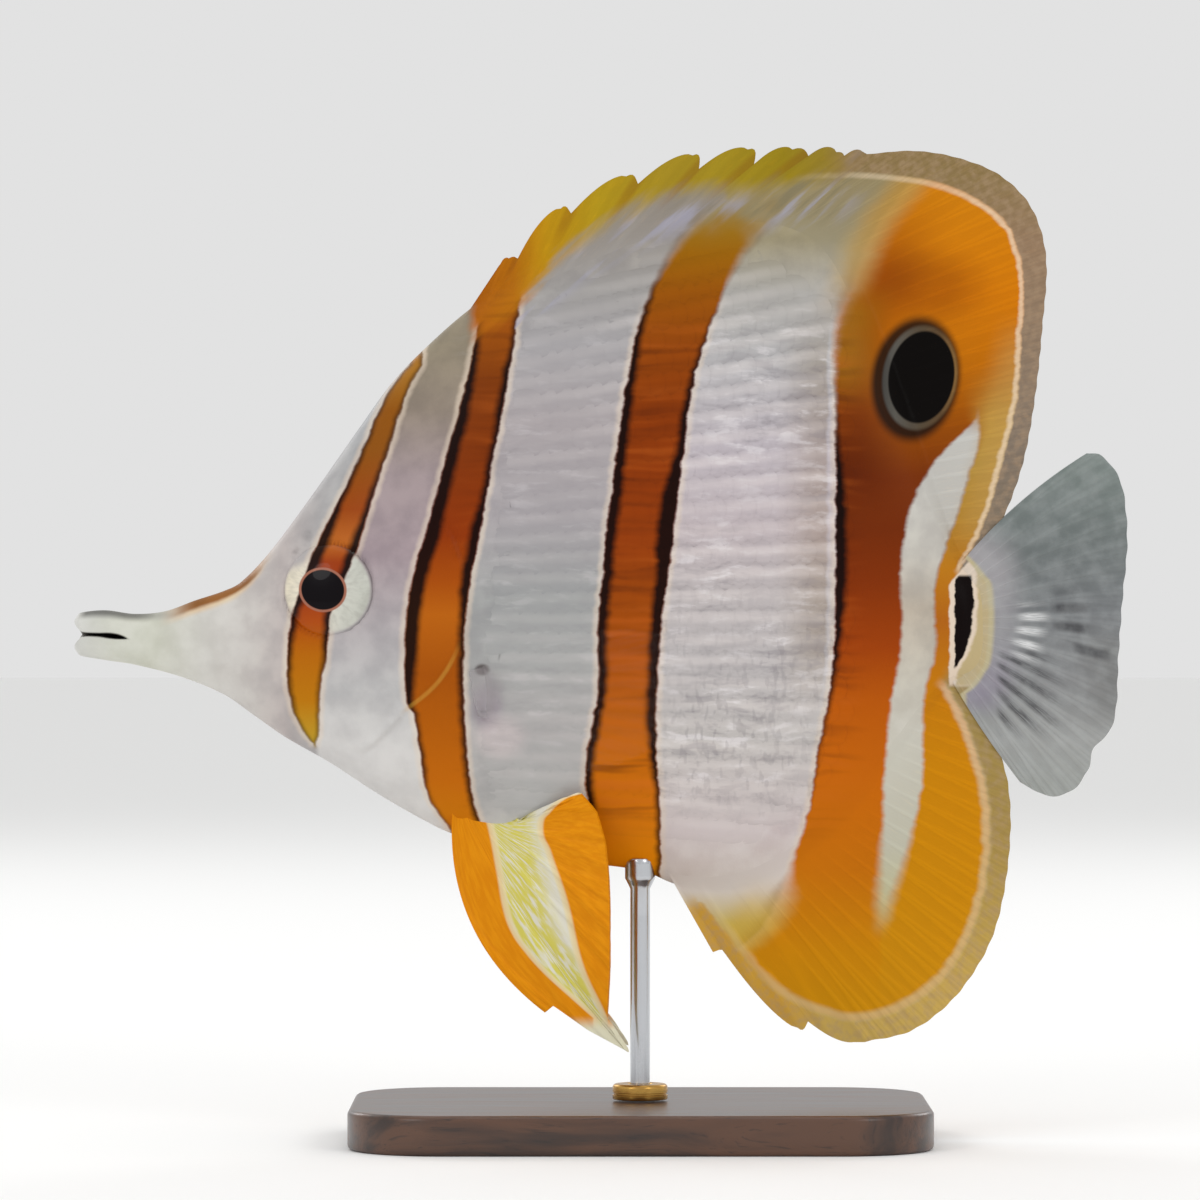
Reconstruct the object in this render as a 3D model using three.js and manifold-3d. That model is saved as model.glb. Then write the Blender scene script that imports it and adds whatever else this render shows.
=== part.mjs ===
// Copperband butterflyfish, an adult at life size, on a plain display stand. Millimetres, +Z up.
// The fish swims level, with its snout towards -X and its left side towards -Y. The origin is the middle of
// the base's underside. Places on the fish are written as s, the distance behind the snout tip, and h, the
// height above the line of the mouth.
import * as THREE from "three";
import { mergeVertices } from "three/addons/utils/BufferGeometryUtils.js";
import Module from "manifold-3d";

const wasm = await Module();
wasm.setup();

// Driving dimensions: where the fish is held, and its stand
const mouthHeight = 77.1; // height of the mouth line above the table
const snoutToRod = 86.2; // the snout tip lies this far in front of the rod
const gap = 0.3; // clearance between neighbouring pieces
const baseLength = 88;
const baseWidth = 60;
const baseHeight = 6;
const baseCorner = 14;
const baseBevel = 0.8;
const rodRadius = 1.5;
const cupRadius = 2.3;
const cupHeight = 3.2;
const cupCone = 1.4; // the rod widens to the cup over this height
const cupRise = 1.8; // the cup's rim would reach this far above the belly line, and is cut to fit the belly
const collarRadius = 4.2;
const collarHeight = 2.4;
const collarBevel = 0.6;
const roundSides = 24;

// Outline and thickness of the flesh, each as [s, value]
const backLine = [
  [0, 2.7], [0.8, 3.3], [4.7, 3.7], [9.2, 3.15], [13.8, 3.55], [18.4, 5.2], [22.9, 6.7], [25.4, 8],
  [29.8, 12.6], [36.7, 21.9], [43.5, 31.6], [48.1, 38], [52.7, 42.9], [59.5, 49], [66, 53.4], [78, 59.2],
  [90, 63.6], [100, 65], [108, 64.4], [115, 60.5], [121, 50.5], [126, 37], [131, 22.5], [134.6, 12.8],
  [137, 9.6], [141, 8.8],
];
const bellyLine = [
  [0, -2.6], [0.8, -3.2], [4.7, -3.9], [9.2, -4.6], [16.1, -6.4], [22.9, -9.2], [27.5, -12.4], [32.1, -15.6],
  [38.9, -19.5], [45.8, -24], [52.7, -28], [57.2, -30.2], [66, -33], [76, -34.6], [86.5, -36], [91.5, -38],
  [97, -39], [103, -38.2], [110, -34.6], [117, -28.8], [124, -20.5], [129.5, -12.6], [133.4, -8], [137, -6.5],
  [141, -6.2],
];
const halfWidth = [
  [0, 1.5], [0.8, 2.1], [2.4, 2.5], [4.8, 2.3], [8, 2.5], [14, 2.9], [22, 4], [30, 5.8], [38, 7.7], [46, 9.2],
  [55, 10.2], [66, 10.7], [80, 10.3], [95, 9], [108, 7.2], [120, 5.2], [130, 3.6], [136, 2.7], [141, 2.1],
];
// How sharply the section narrows to its upper and lower edge. 1 is an ellipse
const edgeTaper = [[0, 1], [22, 1], [40, 1.1], [60, 1.28], [100, 1.34], [128, 1.2], [141, 1.1]];
const fleshLength = 139.6;
const ringPoints = 24;

// A smooth curve through [s, value] pairs, read at any s.
function through(points) {
  const last = points.length - 1;
  const slope = (i) => {
    const [a, b] = [points[Math.max(i - 1, 0)], points[Math.min(i + 1, last)]];
    return (b[1] - a[1]) / (b[0] - a[0]);
  };
  return (s) => {
    let i = points.findIndex((p) => p[0] > s) - 1;
    if (i === -2) i = last - 1;
    i = Math.max(i, 0);
    const [[s0, v0], [s1, v1]] = [points[i], points[i + 1]];
    const step = s1 - s0;
    const t = THREE.MathUtils.clamp((s - s0) / step, 0, 1);
    const [t2, t3] = [t * t, t * t * t];
    const ends = (2 * t3 - 3 * t2 + 1) * v0 + (3 * t2 - 2 * t3) * v1;
    return ends + step * ((t3 - 2 * t2 + t) * slope(i) + (t3 - t2) * slope(i + 1));
  };
}

const back = through(backLine);
const belly = through(bellyLine);
const width = through(halfWidth);
const taper = through(edgeTaper);

// Half the body's thickness at s and h.
function flank(s, h) {
  const middle = (back(s) + belly(s)) / 2;
  const half = (back(s) - belly(s)) / 2;
  const rise = THREE.MathUtils.clamp((h - middle) / half, -1, 1);
  return width(s) * Math.pow(1 - rise * rise, taper(s) / 2);
}

function toSolid(geometry) {
  const bare = new THREE.BufferGeometry().setAttribute("position", geometry.getAttribute("position"));
  if (geometry.index) bare.setIndex(geometry.index);
  const merged = mergeVertices(bare, 1e-4);
  const mesh = new wasm.Mesh({
    numProp: 3,
    vertProperties: merged.attributes.position.array,
    triVerts: new Uint32Array(merged.index.array),
  });
  return new wasm.Manifold(mesh);
}

// The largest closed surface of a solid, as a geometry.
function toGeometry(solid) {
  const pieces = solid.decompose();
  pieces.sort((a, b) => b.volume() - a.volume());
  const mesh = pieces[0].getMesh();
  return new THREE.BufferGeometry()
    .setAttribute("position", new THREE.BufferAttribute(mesh.vertProperties, 3))
    .setIndex(new THREE.BufferAttribute(mesh.triVerts, 1));
}

// A solid from points and triangles, turned right side out where its triangles run the other way.
function indexed(positions, triangles) {
  const geometry = new THREE.BufferGeometry();
  geometry.setAttribute("position", new THREE.Float32BufferAttribute(positions, 3));
  geometry.setIndex(triangles);
  const solid = toSolid(geometry);
  if (solid.volume() > 0) return solid;
  geometry.setIndex([...triangles].reverse());
  return toSolid(geometry);
}

// Where the rings of the body lie: close together at the jaw tips and where the back falls to the tail.
function stations() {
  const found = [0, 0.4, 1.2, 2.6];
  for (let s = 5.4; s < 106; s += 3.1) found.push(s);
  for (let s = 107; s < fleshLength; s += 1.9) found.push(s);
  found.push(fleshLength);
  return found;
}

// The whole flesh as one loft of rings, swollen by grow all round.
function bodySolid(grow = 0) {
  const places = stations();
  const positions = [];
  const triangles = [];
  places.forEach((s, i) => {
    const end = i === 0 ? -grow : i === places.length - 1 ? grow : 0;
    const [top, bottom] = [back(s) + grow, belly(s) - grow];
    for (let k = 0; k < ringPoints; k++) {
      const angle = (2 * Math.PI * k) / ringPoints;
      const [c, n] = [Math.cos(angle), Math.sin(angle)];
      const y = (width(s) + grow) * Math.sign(c) * Math.pow(Math.abs(c), taper(s));
      positions.push(s + end, y, (top + bottom) / 2 + ((top - bottom) / 2) * n);
    }
  });
  for (let i = 0; i + 1 < places.length; i++)
    for (let k = 0; k < ringPoints; k++) {
      const [a, b] = [i * ringPoints + k, i * ringPoints + ((k + 1) % ringPoints)];
      triangles.push(a, b, b + ringPoints, a, b + ringPoints, a + ringPoints);
    }
  const lastRing = (places.length - 1) * ringPoints;
  for (let k = 1; k + 1 < ringPoints; k++) {
    triangles.push(0, k + 1, k);
    triangles.push(lastRing, lastRing + k, lastRing + k + 1);
  }
  return indexed(positions, triangles);
}

// A prism whose outline is drawn in s and h and which runs from y0 to y1.
function prism(outline, y0, y1) {
  const shape = new THREE.Shape(outline.map(([s, h]) => new THREE.Vector2(s, h)));
  const geometry = new THREE.ExtrudeGeometry(shape, { depth: y1 - y0, bevelEnabled: false });
  geometry.rotateX(Math.PI / 2);
  geometry.translate(0, y1, 0);
  return toSolid(geometry);
}

function smooth(points, count) {
  const curve = new THREE.SplineCurve(points.map(([s, h]) => new THREE.Vector2(s, h)));
  return curve.getSpacedPoints(count).map((p) => [p.x, p.y]);
}

// Head: where it ends behind, the edges of the gill cover, and the mouth
const headEnd = [
  [55.2, 52], [56.2, 38], [57.8, 24], [59.6, 12], [60.3, 4], [59, -2], [56.3, -7], [52, -10.9], [48.4, -14.8],
  [44.4, -18], [40.5, -20], [36, -24],
];
const gillFront = [[42.4, -17.2], [47.4, -12.6], [49.3, -7], [49.2, 4], [50, 12], [52.4, 17.6]];
const gillRear = [
  [52.4, 17.6], [55.6, 17.4], [58.3, 13.6], [59.7, 8], [59.9, 4], [58.6, -2], [55.9, -6.8], [51.7, -10.6],
  [48.1, -14.5], [44.2, -17.6], [42.4, -17.2],
];
const gillRaise = 0.35;
const gillThickness = 1.3;
const mouthLength = 8.3;
const lipLine = 0.2; // the lips part at this height
const mouthSlit = [
  [-2, 1.3], [0.2, 0.9], [1.3, 0.45], [mouthLength + 0.2, 0.4], [mouthLength + 0.2, 0.05], [1.3, -0.35],
  [0.2, -0.9], [-2, -1.3],
];
const snoutEnd = 26.5;
const stalkStart = 131.5;
const ahead = -5; // in front of the snout tip
const farOut = 80; // beyond every part of the fish

// The region in front of a curve that runs from above the fish to below it, moved back by shift.
function regionBefore(curve, shift) {
  const moved = curve.map(([s, h]) => [s + shift, h]);
  return [[ahead, farOut], ...moved, [ahead, -farOut]];
}

function upright(s) {
  return [[s, farOut], [s, -farOut]];
}

// The two gill covers sit in a shallow recess of the head, raised a little above the skin.
function gillOutline(spread) {
  const ring = [...smooth(gillFront, 10).slice(0, -1), ...smooth(gillRear, 20).slice(0, -1)];
  const turn = Math.sign(THREE.ShapeUtils.area(ring.map(([x, y]) => ({ x, y }))));
  return ring.map(([s, h], i) => {
    const [before, after] = [ring[(i + ring.length - 1) % ring.length], ring[(i + 1) % ring.length]];
    const [ds, dh] = [after[0] - before[0], after[1] - before[1]];
    const reach = (turn * spread) / Math.hypot(ds, dh);
    return [s + dh * reach, h - ds * reach];
  });
}

// Eye: a flattened ball, set square to the cheek
const eyeS = 38.9;
const eyeH = 6.8;
const eyeRadius = 7.3;
const eyeHalfDepth = 2.7;
const eyeSink = 1.2; // its middle lies this far under the skin
const nostrils = [[35.6, 14.6, 0.8], [34, 12.4, 0.65]]; // s, h and radius

function skinNormal(s, h) {
  const step = 0.5;
  const ds = (flank(s + step, h) - flank(s - step, h)) / (2 * step);
  const dh = (flank(s, h + step) - flank(s, h - step)) / (2 * step);
  return new THREE.Vector3(-ds, 1, -dh).normalize();
}

function eyeMatrix(side, grow) {
  const normal = skinNormal(eyeS, eyeH);
  const place = new THREE.Vector3(eyeS, flank(eyeS, eyeH), eyeH).addScaledVector(normal, -eyeSink);
  normal.y *= side;
  place.y *= side;
  const turn = new THREE.Quaternion().setFromUnitVectors(new THREE.Vector3(0, 1, 0), normal);
  const size = new THREE.Vector3(eyeRadius + grow, eyeHalfDepth + grow, eyeRadius + grow);
  return new THREE.Matrix4().compose(place, turn, size);
}

function eyeSolid(side, grow = 0) {
  const ball = new THREE.SphereGeometry(1, 22, 12);
  ball.applyMatrix4(eyeMatrix(side, grow));
  return toSolid(ball);
}

// A fin as one closed sheet. Each column runs from root to margin, and holds points with a half thickness.
function finSolid(columns) {
  const rows = columns[0].length;
  const held = (i, count) => THREE.MathUtils.clamp(i, 0, count - 1);
  const at = (c, r) => columns[held(c, columns.length)][held(r, rows)];
  const faces = [1, -1].map((side) =>
    columns.map((column, c) =>
      column.map((place, r) => {
        const along = at(c, r + 1).point.clone().sub(at(c, r - 1).point);
        const across = at(c + 1, r).point.clone().sub(at(c - 1, r).point);
        const normal = across.cross(along).normalize();
        return place.point.clone().addScaledVector(normal, side * place.half);
      }),
    ),
  );
  const positions = faces.flat(2).flatMap((v) => v.toArray());
  const count = columns.length * rows;
  const triangles = [];
  for (let c = 0; c + 1 < columns.length; c++)
    for (let r = 0; r + 1 < rows; r++) {
      const [a, b] = [c * rows + r, (c + 1) * rows + r];
      triangles.push(a, b, b + 1, a, b + 1, a + 1);
      triangles.push(count + a, count + b + 1, count + b, count + a, count + a + 1, count + b + 1);
    }
  const rim = [];
  for (let c = 0; c < columns.length; c++) rim.push(c * rows);
  for (let r = 1; r < rows; r++) rim.push((columns.length - 1) * rows + r);
  for (let c = columns.length - 2; c >= 0; c--) rim.push(c * rows + rows - 1);
  for (let r = rows - 2; r > 0; r--) rim.push(r);
  rim.forEach((a, i) => {
    const b = rim[(i + 1) % rim.length];
    triangles.push(b, a, count + a, b, count + a, count + b);
  });
  return indexed(positions, triangles);
}

// One column of a fin: from a root, sunk below the flesh, to a tip on the margin. bow pushes its middle
// sideways in the fin's own plane, and sway moves a point out of that plane.
function finColumn(root, tip, { sink, halfRoot, halfTip, rows, bow = 0, sway = () => 0 }) {
  const run = tip.clone().sub(root);
  const length = run.length();
  const start = root.clone().addScaledVector(run, -sink / length);
  const sideways = new THREE.Vector3(-run.z, 0, run.x).normalize();
  return Array.from({ length: rows + 1 }, (_, r) => {
    const t = r / rows;
    const point = start.clone().lerp(tip, t);
    point.addScaledVector(sideways, bow * 4 * t * (1 - t));
    point.y += sway(point, t);
    return { point, half: THREE.MathUtils.lerp(halfRoot, halfTip, Math.pow(t, 0.6)) };
  });
}

const plane = (s, h) => new THREE.Vector3(s, 0, h);

// Points spaced evenly along a curve of [s, h] points
function spaced(points, count) {
  return smooth(points, count).map(([s, h]) => plane(s, h));
}

// The line where a fin leaves the flesh, between two places on the back or the belly.
function rootLine(line, from, to, count) {
  const fine = Array.from({ length: 60 }, (_, i) => {
    const s = THREE.MathUtils.lerp(from, to, i / 59);
    return [s, line(s)];
  });
  return spaced(fine, count);
}

const membraneHalf = 0.26; // half a membrane's thickness at the margin
const rayRidge = 0.2; // how far a soft ray stands out of each face at its root
const ridgeLeft = 0.6; // the share of that ridge that is left at the margin
const finSink = 2; // a fin's root starts this far under the skin, before it is cut to meet it

// Dorsal spines: where each leaves the back, its tip, and the notch in the membrane close behind the tip
const dorsalSpines = [
  { root: 61.8, tip: [66.2, 57.3], notch: [67.5, 57.2] },
  { root: 65, tip: [74.1, 64.9], notch: [75.6, 64.1] },
  { root: 70.2, tip: [84.1, 69.8], notch: [85.8, 68.6] },
  { root: 75.8, tip: [94.2, 73], notch: [95.1, 70.9] },
  { root: 81.9, tip: [102.6, 73.9], notch: [103.5, 71.6] },
  { root: 88.5, tip: [109.4, 73.9], notch: [111.8, 72.9] },
  { root: 95, tip: [116.1, 73.5], notch: [117.3, 72.9] },
  { root: 101.7, tip: [120.2, 73.3], notch: [120.4, 73.1] },
];
const dorsalFront = { root: 60.4, tip: [64.7, 56.2] }; // the fold of skin that leads the first spine
const analSpines = [
  { root: 91.4, tip: [97.3, -48.4], notch: [98.6, -47.9] },
  { root: 94.5, tip: [110.2, -59.9], notch: [111.7, -58.9] },
  { root: 98, tip: [119.3, -61.8], notch: [119.9, -61.7] },
];
const spineHalf = 1.1; // half a spine's thickness at its root
const spineTipHalf = 0.3;
const lobePlace = 0.72; // the membrane bulges here, from one notch towards the next tip
const lobeBulge = 1;

// The spiny part of a fin. Each spine is a ridge, and the membrane behind it is notched and then bulges.
function spinyColumns(spines, line, halfRoot, rows) {
  const columns = [];
  const skin = { sink: finSink, halfRoot, halfTip: membraneHalf, rows };
  const spine = { sink: finSink, halfRoot: spineHalf, halfTip: spineTipHalf, rows };
  spines.forEach(({ root, tip, notch }, i) => {
    const foot = plane(root, line(root));
    columns.push(finColumn(foot, plane(...tip), spine));
    const next = spines[i + 1];
    if (!next) return;
    const nextFoot = plane(next.root, line(next.root));
    columns.push(finColumn(foot.clone().lerp(nextFoot, 0.2), plane(...notch), skin));
    const lobe = plane(...notch).lerp(plane(...next.tip), lobePlace);
    lobe.addScaledVector(lobe.clone().sub(nextFoot).normalize(), lobeBulge);
    columns.push(finColumn(foot.clone().lerp(nextFoot, 0.6), lobe, skin));
  });
  return columns;
}

function dorsalSpiny() {
  const skin = { sink: finSink, halfRoot: 0.75, halfTip: membraneHalf, rows: 5 };
  const front = plane(dorsalFront.root, back(dorsalFront.root));
  const fold = finColumn(front, plane(...dorsalFront.tip), skin);
  return finSolid([fold, ...spinyColumns(dorsalSpines, back, skin.halfRoot, skin.rows)]);
}

// A soft fin: every second column is a ray, which is a ridge, and the margin dips a little between the rays.
function softColumns(roots, tips, { scallop = 0.25, bowAt = () => 0, ...shape }) {
  return roots.map((root, i) => {
    const onRay = i % 2 === 1;
    const ridge = onRay ? rayRidge : 0;
    const dip = onRay ? 0 : scallop;
    const tip = tips[i].clone().lerp(root, dip / tips[i].distanceTo(root));
    return finColumn(root, tip, {
      ...shape,
      halfRoot: shape.halfRoot + ridge,
      halfTip: shape.halfTip + ridge * ridgeLeft,
      bow: bowAt(i / (roots.length - 1)),
    });
  });
}

const dorsalRays = 29;
const dorsalSoftRoot = [102.3, 135.2];
const dorsalMargin = [
  [120.75, 73.2], [128, 73.7], [134.8, 72.6], [141.2, 69.9], [145.9, 65], [148.1, 57.5], [147.5, 46.5],
  [146.4, 36], [144.7, 26.6], [142.2, 19.2], [139.2, 13.5], [136.7, 10.9],
];

function dorsalSoft() {
  const count = 2 * dorsalRays;
  const roots = rootLine(back, ...dorsalSoftRoot, count);
  const tips = spaced(dorsalMargin, count);
  const shape = { sink: finSink, halfRoot: 1.15, halfTip: membraneHalf, rows: 5 };
  return finSolid(softColumns(roots, tips, shape));
}

const analRays = 20;
const analSoftRoot = [99.5, 133.2];
const analMargin = [
  [120.4, -62.1], [127.3, -60.5], [133.1, -56.4], [137.5, -50.8], [140.3, -45], [142, -37.4], [142.7, -29],
  [142.3, -22.8], [141.1, -18.2], [138.8, -12.6], [135.3, -8.6],
];

function analFin() {
  const rows = 6;
  const columns = spinyColumns(analSpines, belly, 0.9, rows);
  const count = 2 * analRays;
  const softRoots = rootLine(belly, ...analSoftRoot, count);
  const softTips = spaced(analMargin, count);
  const shape = { sink: finSink, halfRoot: 1.1, halfTip: membraneHalf, rows };
  columns.push(...softColumns(softRoots, softTips, shape));
  return finSolid(columns);
}

// Tail fin: a fan of rays, its lower corner rounded off below a small notch
const tailRays = 17;
const tailRoot = [[137, 9.5], [139.7, 7], [140.1, 0.8], [139.3, -4.6], [137, -7.5]];
const tailMargin = [
  [154.3, 27.7], [156.2, 27.4], [158.3, 25.4], [159.8, 22], [160.5, 14.2], [159.8, 5.2], [159.1, -4],
  [158.7, -11.5], [157.6, -15], [155.4, -17.2], [154.4, -20.8], [151.9, -23.9], [148.5, -24.6],
  [144.2, -22.6],
];
const tailSink = 1.6;
const tailSway = 1; // how far the margin waves out of the flat
const tailWave = 37; // the height of one such wave
const tailBow = [1.6, 0.4]; // how far the top and the bottom ray bow outwards

function tailFin() {
  const count = 2 * tailRays;
  const tips = spaced(tailMargin, count);
  const roots = spaced(tailRoot, count);
  const sway = (point, t) => tailSway * t * t * Math.sin((2 * Math.PI * point.z) / tailWave + 0.5);
  const bowAt = (u) => tailBow[0] * (1 - u) - tailBow[1] * u;
  const shape = { sink: tailSink, halfRoot: 1.3, halfTip: membraneHalf, rows: 6, scallop: 0.35, bowAt, sway };
  return finSolid(softColumns(roots, tips, shape));
}

// Paired fins are drawn on the right side and mirrored for the left
function mirrored(solid) {
  return solid.mirror([0, 1, 0]);
}

// Pectoral fin: a clear paddle held a little away from the flank
const pectoralRays = 14;
const pectoralRoot = [[62.4, -4.8], [63.6, -13.2]];
const pectoralMargin = [
  [79, 0.6], [87.5, 0.6], [94, -2.4], [96.2, -7.2], [93.2, -13], [86.5, -17.8], [78.5, -20.6], [70, -19.6],
];
const pectoralFlare = 0.3; // how far it stands out for each millimetre back
const pectoralLift = 0.2; // its root stands this far off the flank
const pectoralCurl = 1.2; // how far the middle of the paddle bows outwards

function pectoralFin() {
  const count = 2 * pectoralRays;
  const rootS = pectoralRoot[0][0];
  const reach = (s, h) => flank(rootS, h) + pectoralLift + (s - rootS) * pectoralFlare;
  const place = ([s, h]) => new THREE.Vector3(s, reach(s, h), h);
  const [top, bottom] = pectoralRoot.map(place);
  const roots = Array.from({ length: count + 1 }, (_, i) => top.clone().lerp(bottom, i / count));
  const tips = smooth(pectoralMargin, count).map(place);
  const sway = (point, t) => pectoralCurl * Math.sin(Math.PI * t);
  const shape = { sink: finSink, halfRoot: 0.7, halfTip: membraneHalf, rows: 5, scallop: 0.3, sway };
  return finSolid(softColumns(roots, tips, shape));
}

// Pelvic fin: a spine, a long first ray and four shorter ones that fan up over the flank. Points are s, h
// and y.
const pelvicRoot = [[58.4, -28, 2.2], [66.5, -29.4, 3]];
const pelvicTips = [
  { tip: [71.8, -57.2, 6], ray: 0.75, bow: -4.6 }, // spine
  { tip: [73, -56.2, 6.2], ray: 0, bow: -3.8 },
  { tip: [78.2, -59.8, 6.9], ray: 0, bow: -2.6 },
  { tip: [84.4, -63.1, 7.6], ray: 0.4, bow: -1.6 }, // long first soft ray
  { tip: [81.2, -58.2, 7.7], ray: 0, bow: -0.8 },
  { tip: [81.6, -50.6, 8.2], ray: 0.3, bow: 0 },
  { tip: [81.6, -45.6, 8.6], ray: 0, bow: 0 },
  { tip: [81.6, -40.8, 8.8], ray: 0.3, bow: 0 },
  { tip: [81.4, -36.4, 8.9], ray: 0, bow: 0 },
  { tip: [80.9, -31.4, 9], ray: 0.3, bow: 0 },
  { tip: [79.6, -26.8, 9], ray: 0, bow: 0 },
  { tip: [77.2, -24, 8.8], ray: 0.3, bow: 0 },
  { tip: [73, -25.6, 7.6], ray: 0, bow: 0 },
];

function pelvicFin() {
  const last = pelvicTips.length - 1;
  const spot = ([s, h, y]) => new THREE.Vector3(s, y, h);
  const [front, rear] = pelvicRoot.map(spot);
  const columns = pelvicTips.map(({ tip, ray, bow }, i) => {
    const root = front.clone().lerp(rear, i / last);
    const [halfRoot, halfTip] = [0.8 + ray * 0.5, membraneHalf + ray * 0.3];
    return finColumn(root, spot(tip), { sink: 1.2, halfRoot, halfTip, bow, rows: 7 });
  });
  return finSolid(columns);
}

// Colours of the pieces
function finish(color, roughness, metalness = 0) {
  return new THREE.MeshStandardMaterial({ color, roughness, metalness });
}

const pearl = finish(0xc4bdbd, 0.4);
const copper = finish(0xc07a1c, 0.45);
const yellow = finish(0xbb9a2c, 0.5);
const smoke = finish(0x8e9496, 0.5);
const clear = finish(0xd5d8d4, 0.4);
const eyeBlack = finish(0x14090c, 0.1);
const stainedWood = finish(0x2e1d14, 0.5);
const steel = finish(0xb9bcbf, 0.3, 1);
const brass = finish(0xb08a45, 0.35, 1);

const fish = new THREE.Group();
fish.position.set(-snoutToRod, 0, mouthHeight);
const stand = new THREE.Group();

function add(group, name, solid, material) {
  const mesh = new THREE.Mesh(toGeometry(solid), material);
  mesh.name = name;
  group.add(mesh);
}

// Flesh: one body, parted with thin cuts
function addFlesh(body, grown) {
  const whole = (outline) => prism(outline, -farOut, farOut);
  const before = (curve, shift) => whole(regionBefore(curve, shift));
  const beforeMouth = before(upright(mouthLength), 0);
  const beforeSnoutEnd = before(upright(snoutEnd), 0);
  const beforeHeadEnd = before(smooth(headEnd, 30), 0);
  const beforeStalk = before(upright(stalkStart), 0);

  const mouth = whole(mouthSlit);
  const above = whole([[ahead, lipLine], [snoutEnd, lipLine], [snoutEnd, farOut], [ahead, farOut]]);
  const jaws = body.intersect(beforeMouth).subtract(mouth);
  add(fish, "upper_jaw", jaws.intersect(above), pearl);
  add(fish, "lower_jaw", jaws.subtract(above), pearl);

  const snout = body.intersect(beforeSnoutEnd).subtract(before(upright(mouthLength + gap), 0));
  add(fish, "snout", snout, pearl);

  let head = body.intersect(beforeHeadEnd).subtract(before(upright(snoutEnd + gap), 0));
  const raised = bodySolid(gillRaise);
  const floor = bodySolid(-gillThickness);
  const recess = bodySolid(-gillThickness - gap);
  for (const [side, name] of [[-1, "left"], [1, "right"]]) {
    const [near, far] = side < 0 ? [-farOut, -2] : [2, farOut];
    const cover = raised.intersect(prism(gillOutline(0), near, far)).subtract(floor);
    add(fish, `gill_cover_${name}`, cover.intersect(beforeHeadEnd), pearl);
    head = head.subtract(prism(gillOutline(gap), near, far).subtract(recess));
    head = head.subtract(eyeSolid(side, gap));
    for (const [s, h, radius] of nostrils) {
      const pit = new THREE.SphereGeometry(radius, 10, 6);
      pit.translate(s, side * flank(s, h), h);
      head = head.subtract(toSolid(pit));
    }
    add(fish, `eye_${name}`, eyeSolid(side), eyeBlack);
  }
  add(fish, "head", head, pearl);

  const behindHead = body.subtract(before(smooth(headEnd, 30), gap));
  const trunk = behindHead.intersect(beforeStalk);
  add(fish, "trunk", trunk, pearl);
  add(fish, "tail_stalk", body.subtract(before(upright(stalkStart + gap), 0)), copper);

  add(fish, "dorsal_fin_spiny", dorsalSpiny().subtract(grown), yellow);
  add(fish, "dorsal_fin_soft", dorsalSoft().subtract(grown), copper);
  add(fish, "anal_fin", analFin().subtract(grown), copper);
  add(fish, "tail_fin", tailFin().subtract(grown), smoke);
  const [pectoral, pelvic] = [pectoralFin().subtract(grown), pelvicFin().subtract(grown)];
  add(fish, "pectoral_fin_right", pectoral, clear);
  add(fish, "pectoral_fin_left", mirrored(pectoral), clear);
  add(fish, "pelvic_fin_right", pelvic, copper);
  add(fish, "pelvic_fin_left", mirrored(pelvic), copper);
}

// Stand: a flat base with rounded corners, and one rod that ends in a small cup under the belly
function standBase() {
  const [x, y] = [baseLength / 2 - baseBevel, baseWidth / 2 - baseBevel];
  const r = baseCorner - baseBevel;
  const shape = new THREE.Shape();
  shape.moveTo(-x + r, -y);
  shape.lineTo(x - r, -y);
  shape.absarc(x - r, -y + r, r, -Math.PI / 2, 0);
  shape.absarc(x - r, y - r, r, 0, Math.PI / 2);
  shape.absarc(-x + r, y - r, r, Math.PI / 2, Math.PI);
  shape.absarc(-x + r, -y + r, r, Math.PI, 1.5 * Math.PI);
  const geometry = new THREE.ExtrudeGeometry(shape, {
    depth: baseHeight - 2 * baseBevel,
    bevelThickness: baseBevel,
    bevelSize: baseBevel,
    bevelSegments: 2,
    curveSegments: 6,
  });
  geometry.translate(0, 0, baseBevel);
  return toSolid(geometry);
}

function lathe(profile) {
  const geometry = new THREE.LatheGeometry(profile.map(([r, z]) => new THREE.Vector2(r, z)), roundSides);
  geometry.rotateX(Math.PI / 2);
  return toSolid(geometry);
}

function addStand(grown) {
  const bellyHeight = mouthHeight + belly(snoutToRod);
  const rodFoot = baseHeight + gap;
  const cupTop = bellyHeight + cupRise;
  const cupFoot = cupTop - cupHeight;
  const rod = lathe([
    [0, rodFoot], [rodRadius, rodFoot], [rodRadius, cupFoot - cupCone], [cupRadius, cupFoot],
    [cupRadius, cupTop], [0, cupTop],
  ]);
  const fishAbove = grown.translate([-snoutToRod, 0, mouthHeight]);
  const inner = rodRadius + gap;
  const collarTop = rodFoot + collarHeight;
  const collar = lathe([
    [inner, rodFoot], [collarRadius, rodFoot], [collarRadius, collarTop - collarBevel],
    [collarRadius - collarBevel, collarTop], [inner, collarTop], [inner, rodFoot],
  ]);
  add(stand, "stand_base", standBase(), stainedWood);
  add(stand, "stand_rod", rod.subtract(fishAbove), steel);
  add(stand, "stand_collar", collar, brass);
}

const grownBody = bodySolid(gap);
addFlesh(bodySolid(), grownBody);
addStand(grownBody);

const part = new THREE.Group();
part.add(fish, stand);
export default part;
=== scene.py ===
# A copperband butterflyfish at life size, swimming level on a small display stand.
# Places on the fish are in millimetres: s behind the snout tip, y out to its right, h above the mouth line.
import math

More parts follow.
